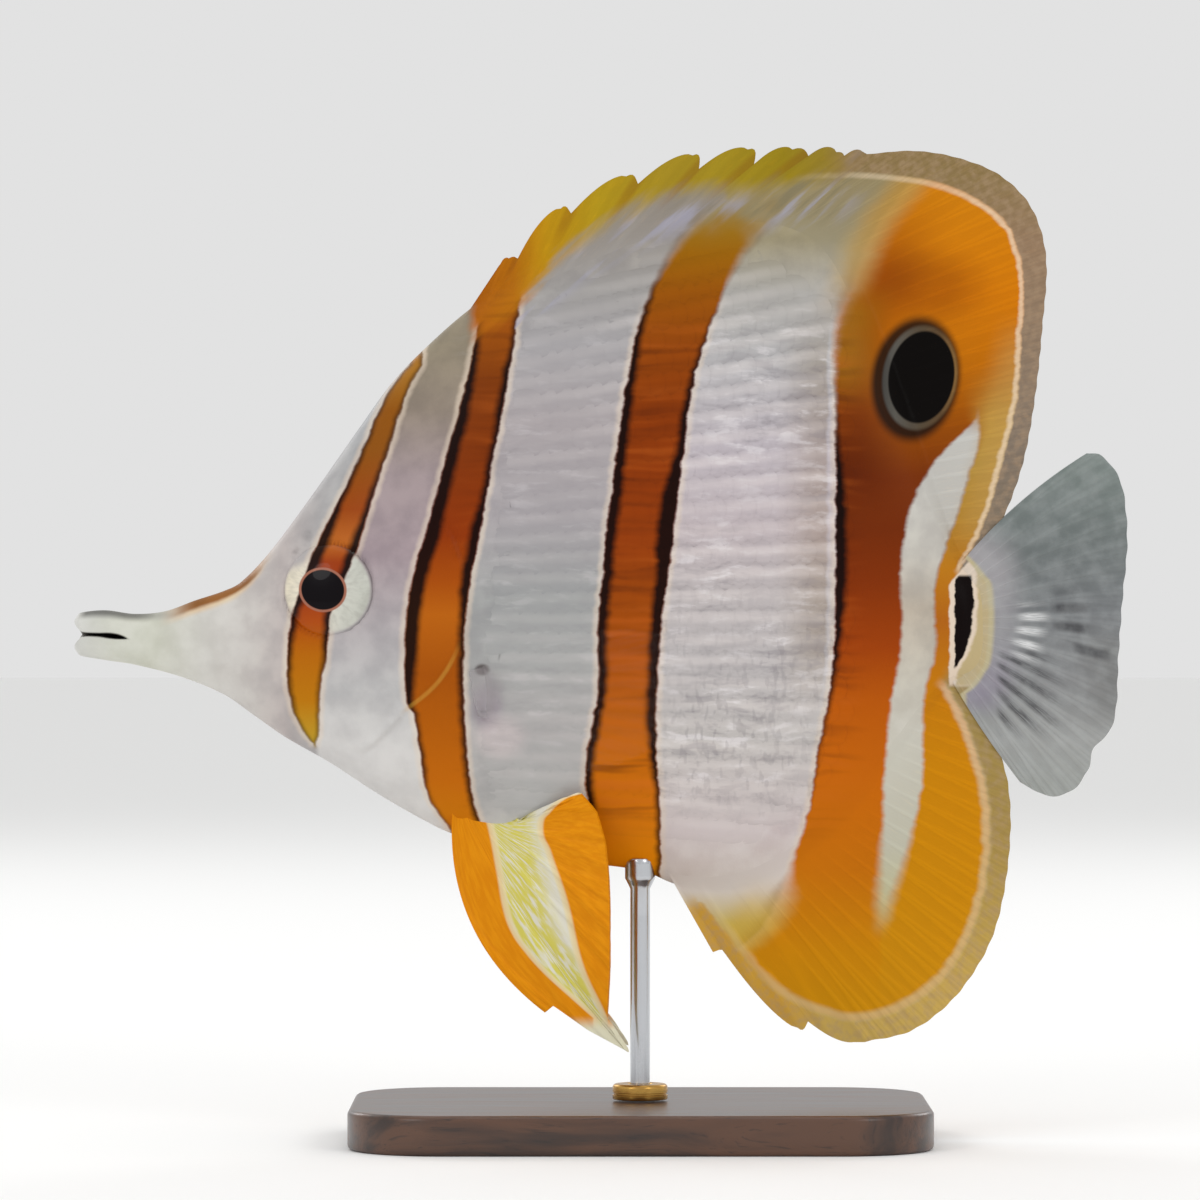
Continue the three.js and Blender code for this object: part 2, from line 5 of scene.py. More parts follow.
import bmesh
import bpy
import numpy as np
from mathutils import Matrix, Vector


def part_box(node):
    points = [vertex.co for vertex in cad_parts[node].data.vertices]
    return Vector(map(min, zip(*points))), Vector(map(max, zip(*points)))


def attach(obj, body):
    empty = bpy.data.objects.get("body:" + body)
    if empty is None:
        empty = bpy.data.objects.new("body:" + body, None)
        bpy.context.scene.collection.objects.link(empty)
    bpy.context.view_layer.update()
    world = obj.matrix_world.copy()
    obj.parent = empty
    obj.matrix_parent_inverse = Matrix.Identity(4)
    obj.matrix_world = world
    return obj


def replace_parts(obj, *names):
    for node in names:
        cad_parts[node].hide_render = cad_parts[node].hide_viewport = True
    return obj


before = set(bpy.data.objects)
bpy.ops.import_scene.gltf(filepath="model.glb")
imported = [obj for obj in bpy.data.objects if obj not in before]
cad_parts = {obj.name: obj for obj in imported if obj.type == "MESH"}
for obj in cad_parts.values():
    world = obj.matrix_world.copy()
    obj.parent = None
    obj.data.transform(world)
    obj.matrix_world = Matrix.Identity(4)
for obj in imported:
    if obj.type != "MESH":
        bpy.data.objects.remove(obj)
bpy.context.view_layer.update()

# The skin: one unbroken hide over the jaws, head, trunk and tail stalk, silvery, with copper bars
# edged in black. It is a loft of rings on the back line, the belly line and the half width, and the
# mouth is a slit cut into its front end. Gill covers, eye sockets and nostrils are raised or pressed in.
snout_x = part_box("upper_jaw")[0].x
mouth_z = 0.0771
skin_rings = 380
ring_points = 240
tip_round = 1.1  # the jaw tips are rounded over this length

back_line = [
    (0, 2.7), (0.8, 3.3), (4.7, 3.7), (9.2, 3.15), (13.8, 3.55), (18.4, 5.2), (22.9, 6.7), (25.4, 8),
    (29.8, 12.6), (36.7, 21.9), (43.5, 31.6), (48.1, 38), (52.7, 42.9), (59.5, 49), (66, 53.4), (78, 59.2),
    (90, 63.6), (100, 65), (108, 64.4), (115, 60.5), (121, 50.5), (126, 37), (131, 22.5), (134.6, 12.8),
    (137, 9.6), (141, 8.8),
]
belly_line = [
    (0, -2.6), (0.8, -3.2), (4.7, -3.9), (9.2, -4.6), (16.1, -6.4), (22.9, -9.2), (27.5, -12.4),
    (32.1, -15.6), (38.9, -19.5), (45.8, -24), (52.7, -28), (57.2, -30.2), (66, -33), (76, -34.6),
    (86.5, -36), (91.5, -38), (97, -39), (103, -38.2), (110, -34.6), (117, -28.8), (124, -20.5),
    (129.5, -12.6), (133.4, -8), (137, -6.5), (141, -6.2),
]
half_width = [
    (0, 1.5), (0.8, 2.1), (2.4, 2.5), (4.8, 2.3), (8, 2.5), (14, 2.9), (22, 4), (30, 5.8), (38, 7.7),
    (46, 9.2), (55, 10.2), (66, 10.7), (80, 10.3), (95, 9), (108, 7.2), (120, 5.2), (130, 3.6), (136, 2.7),
    (141, 2.1),
]
edge_taper = [(0, 1), (22, 1), (40, 1.1), (60, 1.28), (100, 1.34), (128, 1.2), (141, 1.1)]
flesh_length = 139.6


def smooth_line(points):
    """A smooth curve through (place, value) pairs, read at any place or array of places."""
    places, values = np.array(points, float).T
    slopes = np.gradient(values, places)
    slopes[1:-1] = (values[2:] - values[:-2]) / (places[2:] - places[:-2])

    def read(place):
        i = np.clip(np.searchsorted(places, place, side="right") - 1, 0, len(places) - 2)
        step = places[i + 1] - places[i]
        t = np.clip((place - places[i]) / step, 0, 1)
        ends = values[i] + (3 * t**2 - 2 * t**3) * (values[i + 1] - values[i])
        bend = (t**3 - 2 * t**2 + t) * slopes[i] + (t**3 - t**2) * slopes[i + 1]
        return ends + step * bend

    return read


back = smooth_line(back_line)
belly = smooth_line(belly_line)
width = smooth_line(half_width)
taper = smooth_line(edge_taper)


def flank(s, h):
    """Half the body's thickness at s and h."""
    middle = (back(s) + belly(s)) / 2
    half = (back(s) - belly(s)) / 2
    rise = np.clip((h - middle) / half, -1, 1)
    return width(s) * (1 - rise**2) ** (taper(s) / 2)


def ease(value, low, high):
    """Rises smoothly from 0 at low to 1 at high."""
    t = np.clip((value - low) / (high - low), 0, 1)
    return t * t * (3 - 2 * t)


def round_centre(centre, points):
    """The points of a line as (angle, distance) pairs round a centre, in order."""
    s0, h0 = centre
    return sorted((math.atan2(h - h0, s - s0), math.hypot(s - s0, h - h0)) for s, h in points)


def outside(centre, points):
    """How far a place lies outside a line drawn round a centre."""
    s0, h0 = centre
    reach = smooth_line(round_centre(centre, points))
    return lambda s, h: np.hypot(s - s0, h - h0) - reach(np.arctan2(h - h0, s - s0))


def bump(value, middle, spread):
    return np.exp(-(((value - middle) / spread) ** 2))


gill_centre = (44, 2)
gill_line = [
    (42.4, -17.2), (44.2, -17.6), (48.1, -14.5), (51.7, -10.6), (55.9, -6.8), (58.6, -2), (59.9, 4),
    (59.7, 8), (58.3, 13.6), (55.6, 17.4), (52.4, 17.6),
]
gill_raise = 0.42
gill_plate = 9  # the cover rises towards its rear edge over this length
cheek_line = [(45, -15.3), (49.6, -10), (50.8, -0.8), (48.9, 11.4)]
nostrils = [(35.6, 14.6, 0.75), (34, 12.4, 0.6)]
eye_s, eye_h = 38.9, 6.8
both_sides = ((-1, "left"), (1, "right"))
eye_radius, eye_half_depth, eye_sink = 7.3, 2.7, 1.2
beyond_gill = outside(gill_centre, gill_line)
beyond_cheek = outside(gill_centre, cheek_line)


def relief(s, h):
    """How far the skin stands out of the plain loft."""
    turn = np.arctan2(h - gill_centre[1], s - gill_centre[0])
    shown = ease(turn, -1.75, -1.45) * ease(turn, 1.2, 0.95)
    d = beyond_gill(s, h)
    plate = ease(d, 0.2, -0.3) * np.exp(np.minimum(d, 0) / gill_plate)
    found = shown * (gill_raise * plate - 0.16 * bump(d, 0.55, 0.4))
    shown = ease(turn, -1.7, -1.3) * ease(turn, 1.3, 0.9)
    found = found - 0.16 * shown * bump(beyond_cheek(s, h), 0, 0.5)
    for place, height, radius in nostrils:
        found = found - 0.7 * bump(np.hypot(s - place, h - height), 0, radius)
        found = found + 0.12 * bump(np.hypot(s - place, h - height), radius * 1.5, 0.3)
    return found


def skin_half(s, h):
    return flank(s, h) + relief(s, h)


def stalk_end(s):
    """The flesh thins out over the roots of the tail's rays."""
    return 1 - 0.62 * ease(s, 135.5, 139.6)


def eye_frame(side):
    """The middle of an eye's opening on the skin, and the way it looks, as (s, y, h)."""
    step = 0.5
    ds = (flank(eye_s + step, eye_h) - flank(eye_s - step, eye_h)) / (2 * step)
    dh = (flank(eye_s, eye_h + step) - flank(eye_s, eye_h - step)) / (2 * step)
    normal = Vector((-ds, 1, -dh)).normalized()
    return np.array((eye_s, side * flank(eye_s, eye_h), eye_h)), np.array(
        (normal.x, side * normal.y, normal.z)
    )


def eye_surface(radius):
    """Height of the eyeball over the plane of the cheek, at a distance from its axis."""
    share = np.clip(radius / eye_radius, 0, 1)
    return eye_half_depth * np.sqrt(1 - share**2) - eye_sink


def press_sockets(places, side_of):
    """Presses the skin in under each eyeball, and raises a low rim round it."""
    for side, _ in both_sides:
        middle, normal = eye_frame(side)
        away = places - middle
        depth = away @ normal
        radius = np.linalg.norm(away - depth[:, None] * normal, axis=1)
        near = (side_of == side) & (radius < eye_radius + 2) & (np.abs(depth) < 6)
        under = np.minimum(depth, eye_surface(radius) - 0.3)
        share = ease(radius, eye_radius, eye_radius - 0.45)
        moved = depth + share * (under - depth) + 0.16 * bump(radius, eye_radius + 0.3, 0.42)
        places[near] += ((moved - depth)[:, None] * normal)[near]


def move_places(bm, s, y, h):
    """Moves a mesh's vertices to places on the fish."""
    for v, a, b, c in zip(bm.verts, s, y, h):
        v.co = (snout_x + a / 1000, b / 1000, mouth_z + c / 1000)


def make_piece(bm, name, material):
    """A finished object from a bmesh, riding on the model, with its faces turned outwards."""
    if bm.calc_volume(signed=True) < 0:
        bmesh.ops.reverse_faces(bm, faces=bm.faces)
    mesh = bpy.data.meshes.new(name)
    bm.to_mesh(mesh)
    bm.free()
    mesh.shade_smooth()
    mesh.set_sharp_from_angle(angle=math.radians(60))
    mesh.materials.append(material)
    piece = bpy.data.objects.new(name, mesh)
    bpy.context.scene.collection.objects.link(piece)
    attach(piece, "root")
    return piece


# Places of the rings, closest at the jaw tips and round the eye and the gill cover
ring_place = smooth_line([
    (0, 0), (0.015, 0.08), (0.04, 0.7), (0.08, 2.6), (0.19, 10), (0.25, 20), (0.33, 30), (0.61, 62),
    (0.84, 105), (1, flesh_length),
])
mouth_length = 8.3
mouth_gape = smooth_line([
    (0, 1.2), (0.7, 0.8), (1.5, 0.36), (3.5, 0.24), (6, 0.36), (7.4, 0.22), (mouth_length, 0),
])
mouth_depth = 1.2  # the jaws meet this far behind their tips

skin = bmesh.new()
bmesh.ops.create_uvsphere(skin, u_segments=ring_points, v_segments=skin_rings, radius=1)
layers = skin.verts.layers.float
place_layer, side_layer, up_layer = (layers.new(name) for name in ("place", "side", "up"))
for v in skin.verts:
    v[place_layer] = ring_place(math.acos(max(-1, min(1, -v.co.z))) / math.pi)
    out = math.hypot(v.co.x, v.co.y)
    v[side_layer] = v.co.x / out if out > 1e-5 else 0
    v[up_layer] = v.co.y / out if out > 1e-5 else 0


def on_mouth(v):
    return abs(v[up_layer]) < 1e-4 and v[place_layer] < mouth_length


slit = [e for e in skin.edges if on_mouth(e.verts[0]) and on_mouth(e.verts[1])]
bmesh.ops.split_edges(skin, edges=slit)
rim = [e for e in skin.edges if e.is_boundary]
for v in {v for e in rim for v in e.verts}:
    above = sum(w[up_layer] for f in v.link_faces for w in f.verts) > 0
    if on_mouth(v):
        v[up_layer] = 1e-6 if above else -1e-6
lining = bmesh.ops.extrude_edge_only(skin, edges=rim)["geom"]
lining = [v for v in lining if isinstance(v, bmesh.types.BMVert)]
skin.verts.index_update()
inner = np.array([v.index for v in lining])

s = np.array([v[place_layer] for v in skin.verts])
c = np.array([v[side_layer] for v in skin.verts])
n = np.array([v[up_layer] for v in skin.verts])
middle, half = (back(s) + belly(s)) / 2, (back(s) - belly(s)) / 2
rounding = np.sqrt(1 - (1 - np.clip(s / tip_round, 0, 1)) ** 2)
gape = np.where(s < mouth_length, mouth_gape(s), 0)
jaw_middle = (half + gape) / 2
in_jaw = jaw_middle + rounding * (gape + (half - gape) * np.abs(n) - jaw_middle)
h = middle + np.where(s < mouth_length, np.sign(n) * in_jaw, half * n)
y = width(s) * np.sign(c) * np.abs(c) ** taper(s) * rounding
y = y + np.sign(c) * relief(s, h) * np.sqrt(np.abs(c)) * (s > mouth_length)
y = y * stalk_end(s)
places = np.stack([s, y, h], axis=1)
press_sockets(places, np.sign(c))
s, y, h = places.T
s[inner] += mouth_depth * (1 - s[inner] / mouth_length)
y[inner] *= 0.15
h[inner] = middle[inner]
move_places(skin, s, y, h)
bmesh.ops.remove_doubles(skin, verts=lining, dist=1e-5)
bmesh.ops.recalc_face_normals(skin, faces=skin.faces)


def paint(red, green, blue):
    """A linear colour from one on the 0 to 255 scale of a colour chart."""
    scaled = [channel / 255 for channel in (red, green, blue)]
    return (*[v / 12.92 if v <= 0.04045 else ((v + 0.055) / 1.055) ** 2.4 for v in scaled], 1)


class Value:
    """What a shader node gives. Arithmetic and the calls below add the nodes that work on it."""

    def __init__(self, nodes, socket):
        self.nodes, self.socket = nodes, socket

    def math(self, operation, *others):
        return self.nodes.add("Math", (self, *others), operation=operation)

    def __add__(self, other):
        return self.math("ADD", other)

    def __sub__(self, other):
        return self.math("SUBTRACT", other)

    def __rsub__(self, other):
        return self.nodes.add("Math", (other, self), operation="SUBTRACT")

    def __mul__(self, other):
        return self.math("MULTIPLY", other)

    def __truediv__(self, other):
        return self.math("DIVIDE", other)

    def __abs__(self):
        return self.math("ABSOLUTE")

    def ease(self, low, high, bottom=0, top=1):
        """Runs smoothly from bottom to top as this value runs from low to high."""
        inputs = (self, low, high, bottom, top)
        return self.nodes.add("MapRange", inputs, interpolation_type="SMOOTHSTEP")

    def within(self, start, full, ending, end):
        """Rises from 0 to 1 between the first two values and falls back between the last two."""
        return self.ease(start, full) * self.ease(end, ending)

    def line(self, points):
        """The height of a smooth line through (place, height) pairs, with this value as the place."""
        places, heights = zip(*points)
        low, high, bottom, top = places[0], places[-1], min(heights), max(heights)
        read = self.nodes.add("FloatCurve", (1, self.nodes.add("MapRange", (self, low, high, 0, 1))))
        mapping = read.socket.node.mapping
        scaled = [((a - low) / (high - low), (b - bottom) / ((top - bottom) or 1)) for a, b in points]
        spots = mapping.curves[0].points
        spots[0].location, spots[1].location = scaled[0], scaled[-1]
        for spot in scaled[1:-1]:
            spots.new(*spot)
        mapping.update()
        return read * (top - bottom) + bottom

    def shade(self, stops):
        """A colour that changes along this value, from (value, red, green, blue) stops."""
        low, high = stops[0][0], stops[-1][0]
        read = self.nodes.add("ValToRGB", (self.nodes.add("MapRange", (self, low, high, 0, 1)),))
        ramp = read.socket.node.color_ramp
        ramp.elements.remove(ramp.elements[1])
        for i, (place, *chart) in enumerate(stops):
            spot = (place - low) / (high - low)
            element = ramp.elements.new(spot) if i else ramp.elements[0]
            element.position = spot
            element.color = paint(*chart)
        return read

    def between(self, first, second, blend="MIX"):
        """A colour that runs from the first to the second as this share runs from 0 to 1."""
        first, second = (paint(*c) if isinstance(c, tuple) else c for c in (first, second))
        inputs = {0: self, 6: first, 7: second}
        return self.nodes.add("Mix", inputs, 2, data_type="RGBA", blend_type=blend)

    def mix(self, share, other, blend="MIX"):
        """This colour with a share of another over it."""
        return share.between(self, other, blend)

    def scaled(self, size):
        return self.nodes.add("VectorMath", {0: self, 3: size}, operation="SCALE")

    def noise(self, scale, detail=2, stretch=(1, 1, 1), result=0):
        """Noise at this place, finer along an axis with a larger stretch."""
        placed = self.nodes.add("VectorMath", (self, stretch), operation="MULTIPLY")
        return self.nodes.add("TexNoise", {"Vector": placed, "Scale": scale, "Detail": detail}, result)

    def bump(self, strength, distance):
        """A normal that shows this value as relief."""
        return self.nodes.add("Bump", {"Strength": strength, "Distance": distance, "Height": self})


class Nodes:
    """Adds nodes to a material or a group."""

    def __init__(self, tree):
        self.tree = tree

    def fill(self, node, inputs):
        """Links or sets a node's inputs, given in order or by name."""
        for key, value in inputs.items() if isinstance(inputs, dict) else enumerate(inputs):
            if isinstance(value, Value):
                self.tree.links.new(value.socket, node.inputs[key])
            else:
                node.inputs[key].default_value = value

    def parts(self, kind, inputs=(), **settings):
        """A new node's results."""
        node = self.tree.nodes.new("ShaderNode" + kind)
        for name, value in settings.items():
            setattr(node, name, value)
        self.fill(node, inputs)
        return [Value(self, socket) for socket in node.outputs]

    def add(self, kind, inputs=(), result=0, **settings):
        return self.parts(kind, inputs, **settings)[result]

    def attribute(self, name):
        return self.add("Attribute", result=2, attribute_name=name, attribute_type="GEOMETRY")

    def sized(self):
        """The place on the object in millimetres."""
        return self.add("TexCoord", result=3).scaled(1000)

    def on_fish(self, sized):
        """The s, y and h of a place in millimetres."""
        x, y, z = self.parts("SeparateXYZ", (sized,))
        return x - snout_x * 1000, y, z - mouth_z * 1000

    def length(self, a, b):
        pair = self.add("CombineXYZ", (a, b, 0))
        return self.add("VectorMath", (pair,), 1, operation="LENGTH")

    def streaks(self, x, y, z, detail, roughness=0.5):
        """Noise over three values of its own."""
        place = self.add("CombineXYZ", (x, y, z))
        inputs = {"Vector": place, "Scale": 1, "Detail": detail, "Roughness": roughness}
        return self.add("TexNoise", inputs)

    def outside(self, s, h, centre, points):
        """How far a place lies outside a line drawn round a centre, and the angle there."""
        ds, dh = s - centre[0], h - centre[1]
        angle = dh.math("ARCTAN2", ds)
        return self.length(ds, dh) - angle.line(round_centre(centre, points)), angle

    def spot(self, s, h, centre, size, tilt=0):
        """Distance from a centre in units of an ellipse's half sizes."""
        turn, up = math.cos(tilt), math.sin(tilt)
        ds, dh = s - centre[0], h - centre[1]
        along = ds * (turn / size[0]) + dh * (up / size[0])
        across = dh * (turn / size[1]) + ds * (-up / size[1])
        return self.length(along, across)


def new_group(name, inputs, outputs):
    """A node group with named sockets, its helper, its inputs and its output node."""
    tree = bpy.data.node_groups.new(name, "ShaderNodeTree")
    for in_out, sockets in (("INPUT", inputs), ("OUTPUT", outputs)):
        for label, kind in sockets.items():
            tree.interface.new_socket(name=label, in_out=in_out, socket_type="NodeSocket" + kind)
    nodes = Nodes(tree)
    given = [Value(nodes, socket) for socket in tree.nodes.new("NodeGroupInput").outputs]
    return tree, nodes, given[:len(inputs)], tree.nodes.new("NodeGroupOutput")


# The edges of one bar: black just inside each edge, and a thin pale line just outside
bar_tree, nodes, given, made = new_group(
    "bar_edges",
    dict.fromkeys(("s", "Front", "Rear", "Front dark", "Rear dark", "Softness"), "Float"),
    dict.fromkeys(("Inside", "Dark", "Border"), "Float"),
)
s, front, rear, front_dark, rear_dark, softness = given
past_front, past_rear = s - front, rear - s
inside = past_front.ease(softness * -1, softness) * past_rear.ease(softness * -1, softness)
dark = past_front.ease(front_dark + 0.7, front_dark - 0.7)
dark = dark.math("MAXIMUM", past_rear.ease(rear_dark + 0.7, rear_dark - 0.7))
border = past_front.ease(-1.2, -0.35) * past_rear.ease(-1.2, -0.35)
nodes.fill(made, (inside, inside * dark, border * (1 - inside)))

# Each bar's front and rear edge, the width of black inside them, as (h, millimetres), and its colours.
# The pale ground behind each bar has its own colours.
eye_bar = {
    "front": [
        (-16.5, 36.6), (-14.6, 35), (-11.5, 33.6), (-7, 32.8), (-2.4, 32.8), (2, 33.3), (6, 34.4),
        (9.8, 35.6), (15.9, 38.3), (22, 41.3), (28.1, 44.1), (34.2, 46.6), (37.3, 48.2), (41, 51),
    ],
    "rear": [
        (-16.5, 36.9), (-14.6, 37.4), (-8.5, 37.7), (-2.4, 38.8), (3.7, 39.6), (9.8, 42.2), (15.9, 44.3),
        (22, 46.1), (28.1, 48.1), (34.2, 49.9), (37.3, 51), (41, 53),
    ],
    "front_dark": [
        (-16, 0.2), (-8, 0.5), (-2, 0.8), (4, 1), (9, 1.9), (15.9, 1.5), (22, 0.7), (30, 0.35), (41, 0.2),
    ],
    "rear_dark": [
        (-16, 0.2), (-6, 0.4), (-1, 0.9), (9, 1.3), (13, 1.4), (17, 1), (22, 0.7), (28, 0.4), (41, 0.2),
    ],
    "colours": [
        (-16, 190, 152, 40), (-10, 186, 118, 10), (-3, 180, 102, 8), (2, 172, 74, 10), (6, 150, 50, 8),
        (11, 152, 58, 12), (14, 184, 100, 34), (19, 152, 68, 14), (28, 140, 80, 18), (34, 142, 82, 16),
        (40, 164, 110, 34),
    ],
    "ground": [
        (-30, 214, 212, 209), (-18, 210, 208, 206), (-8, 184, 183, 183), (0, 174, 169, 171),
        (12, 161, 146, 151), (24, 155, 141, 143), (34, 140, 128, 116), (44, 140, 130, 112),
    ],
}
gill_bar = {
    "front": [
        (-32.8, 58.3), (-29.8, 57.3), (-26.7, 55.3), (-23.7, 53.8), (-17.6, 52.8), (-12.2, 52),
        (-10, 50.9), (-2.4, 50.6), (3.7, 51), (9.8, 52.1), (15.9, 54), (22, 55.6), (28.1, 57.2),
        (34.2, 58.9), (40.3, 60.3), (46.4, 61.5), (50, 62),
    ],
    "rear": [
        (-32.8, 63.5), (-29.8, 62.4), (-23.7, 60.6), (-17.6, 59.9), (-11.5, 59.6), (-5.4, 59.4),
        (0.7, 59.6), (6.8, 60.3), (12.9, 61.5), (19, 62.6), (25.1, 63.6), (31.2, 64.8), (37.3, 65.9),
        (43.4, 67), (50, 67.8),
    ],
    "front_dark": [
        (-32, 0.2), (-24, 0.3), (-19, 0.6), (-13, 0.5), (-10.5, 1), (-7, 1.5), (-4, 1.8), (8.3, 2.2),
        (14.4, 2.3), (17.4, 2.1), (23.5, 1.9), (29.6, 1.7), (35.7, 1.4), (41.8, 1), (48, 0.5),
    ],
    "rear_dark": [
        (-32, 0.7), (-14, 0.7), (-2, 0.8), (5, 1.1), (8.3, 1.5), (14.4, 1.6), (20.5, 0.9), (29.6, 0.8),
        (35.7, 1), (44, 0.6), (50, 0.4),
    ],
    "colours": [
        (-32, 208, 128, 10), (-22, 194, 104, 6), (-14, 178, 92, 5), (-6, 164, 81, 5), (3, 184, 97, 15),
        (8, 166, 76, 8), (15, 142, 53, 6), (26, 128, 52, 7), (38, 122, 54, 5), (46, 150, 76, 8),
        (52, 158, 88, 12),
    ],
    "ground": [
        (-34, 188, 187, 184), (-24, 178, 177, 175), (-14, 174, 171, 170), (-4, 166, 166, 165),
        (6, 156, 157, 157), (18, 163, 158, 161), (32, 167, 160, 162), (44, 163, 160, 162),
        (52, 154, 151, 149), (58, 152, 147, 142), (66, 146, 138, 128),
    ],
}
flank_bar = {
    "front": [
        (-36, 81.5), (-32.8, 78.9), (-26, 78.3), (-20.6, 77.9), (-14.6, 78.7), (-8.5, 79.8), (0.7, 79.8),
        (9.8, 80.6), (19, 81.5), (28.1, 82.7), (37.3, 84), (43.4, 85.1), (49.4, 86.8), (55.5, 89.6),
        (61.6, 94), (66, 98.8),
    ],
    "rear": [
        (-36, 89.2), (-26, 89.2), (-17.6, 88.6), (-8.5, 88.7), (0.7, 89.3), (9.8, 90.5), (19, 91.6),
        (28.1, 92.8), (37.3, 94.1), (43.4, 95.7), (49.4, 97.8), (55.5, 100.4), (61.6, 104.5), (66, 107.5),
    ],
    "front_dark": [
        (-35, 0.8), (-20, 1.2), (-10, 1.3), (10, 1.5), (20, 1.6), (30, 1.5), (40, 1.2), (46, 0.9),
        (54, 0.3), (58, -0.3), (63, -0.7),
    ],
    "rear_dark": [
        (-35, 0.6), (-24, 0.7), (-14, 1.4), (2, 1.7), (10, 2), (17, 2.6), (22, 2.2), (28, 1.3), (36, 0.9),
        (46, 0.3), (52, -0.3), (58, -0.7),
    ],
    "softness": [(-36, 0.2), (30, 0.2), (46, 0.3), (56, 1.1), (62, 2.2), (66, 3)],
    "colours": [
        (-34, 230, 136, 6), (-26, 208, 114, 5), (-14, 184, 95, 5), (-4, 162, 77, 6), (6, 150, 68, 7),
        (14, 146, 60, 8), (24, 136, 54, 6), (34, 130, 53, 5), (44, 142, 67, 7), (52, 146, 80, 5),
        (58, 150, 96, 6), (64, 148, 114, 30), (68, 144, 118, 50),
    ],
    "ground": [
        (-48, 196, 158, 50), (-44, 200, 178, 96), (-39, 210, 200, 190), (-30, 208, 197, 196),
        (-16, 192, 187, 184), (-4, 186, 181, 181), (6, 187, 180, 180), (16, 190, 179, 182),
        (28, 186, 178, 184), (42, 178, 176, 177), (52, 168, 165, 160), (60, 149, 140, 114),
        (70, 148, 134, 98),
    ],
}
rear_bar = {
    "front": [
        (-50, 97), (-46, 104), (-42, 107), (-38.9, 108.2), (-32.8, 110), (-26.7, 111.8), (-20.6, 112.7),
        (-14.6, 113.8), (-8.5, 115), (-2.4, 115.5), (9.8, 115.8), (22, 115.8), (34.2, 115.9),
        (43.4, 116), (49.4, 117.2), (53.5, 119.1), (58.6, 120.8), (62, 122.6), (66, 125.6), (74, 132),
    ],
    "rear": [(-70, 170), (80, 170)],
    "front_dark": [
        (-32, -0.7), (-20, 0.2), (-10, 0.5), (0, 1.1), (12, 1.7), (22, 1.3), (30, 0.5), (42, -0.7),
    ],
    "softness": [(-50, 4.5), (-40, 3.5), (-33, 0.5), (30, 0.4), (42, 1), (52, 2.6), (60, 4), (70, 5)],
    "rear_dark": [(-70, 0), (80, 0)],
    "colours": [
        (-58, 208, 144, 8), (-48, 205, 134, 4), (-36, 198, 112, 5), (-22, 198, 102, 6), (-10, 182, 86, 5),
        (-2, 156, 63, 5), (8, 128, 48, 4), (16, 112, 42, 4), (24, 118, 48, 5), (32, 150, 76, 4),
        (42, 190, 108, 3), (52, 208, 120, 3), (66, 206, 126, 8),
    ],
    "ground": [(-60, 186, 176, 120), (40, 190, 190, 186)],
}
snout_ground = [
    (0, 206, 206, 202), (6, 204, 205, 194), (12, 200, 201, 188), (20, 202, 200, 194), (27, 194, 189, 185),
    (32, 180, 172, 170), (38, 170, 168, 168), (46, 166, 168, 170), (52, 168, 166, 165),
]
rear_strip_colours = [
    (-58, 206, 142, 12), (-40, 203, 136, 6), (-20, 203, 132, 5), (-8, 196, 122, 8), (2, 174, 98, 22),
    (10, 184, 118, 22), (18, 176, 130, 46), (26, 176, 140, 62), (32, 188, 146, 62),
]
gap_front = [
    (-47, 122.6), (-38.9, 122.5), (-29.8, 123.1), (-20.6, 123.5), (-11.5, 124.1), (-5.4, 125.3),
    (0, 125.9), (9.8, 125.7), (15.9, 126.4), (19, 127.2), (22, 128.5), (25.1, 130.2), (28.1, 132.6),
    (31.2, 135.8), (33, 137.6),
]
gap_rear = [
    (-47, 122.8), (-42, 124), (-35.9, 126.1), (-26.7, 128.4), (-20.6, 129.3), (-14.6, 129.3),
    (-8.5, 129.5), (-2.4, 131.1), (6.8, 131), (12.9, 132.5), (19, 134.7), (25.1, 136.5), (30, 137.8),
    (33, 137.8),
]
gap_colours = [
    (-46, 196, 186, 112), (-40, 194, 190, 152), (-32, 194, 192, 174), (-14, 202, 199, 188),
    (4, 180, 170, 156), (12, 190, 186, 178), (30, 196, 195, 190),
]
dorsal_line = [
    (95, 66.6), (104.5, 68.7), (116.7, 70), (124.3, 69.6), (130.7, 68.6), (136.8, 66.2), (140.7, 63.4),
    (143.1, 59.4), (144.2, 54), (144.2, 49), (143.7, 42), (143.2, 36), (141.8, 29.4), (140.3, 23.8),
    (138.7, 18.1), (135.9, 12.4), (134.2, 9.5),
]
anal_line = [
    (132.3, -7.8), (135.3, -13.5), (137.3, -19.3), (138.6, -25), (138.9, -31), (138, -39.5),
    (136.4, -44.4), (134, -49.3), (130.3, -53.6), (125.8, -56.5), (120.6, -58.1), (114.8, -57.4),
    (109.6, -55.4), (105.6, -52.4), (101.4, -47.5), (98.6, -43.8), (95.3, -40.5),
]
yellow_line = [
    (60, 46), (67.1, 50.4), (70.9, 53.8), (74, 57.8), (80.1, 62.4), (86.2, 65.8), (93.8, 68),
    (102.9, 68.4), (115.1, 70.2), (122, 72),
]
yellow_colours = [
    (61, 168, 92, 10), (67, 176, 106, 10), (72, 186, 140, 18), (80, 174, 144, 26), (90, 162, 136, 34),
    (98, 160, 136, 32), (108, 150, 128, 26), (114, 146, 124, 40), (119, 144, 118, 76), (125, 142, 116, 84),
]
dorsal_edge_colours = [
    (10, 124, 112, 96), (30, 130, 116, 102), (50, 142, 120, 98), (60, 146, 120, 94), (70, 138, 116, 76),
]
anal_edge_colours = [
    (-62, 204, 172, 92), (-54, 202, 168, 88), (-44, 184, 154, 80), (-30, 164, 138, 76), (-8, 154, 132, 74),
]
edge_cream = [(-60, 216, 188, 134), (-34, 208, 184, 138), (-10, 216, 190, 156), (20, 230, 208, 178)]
cream = (224, 206, 186)
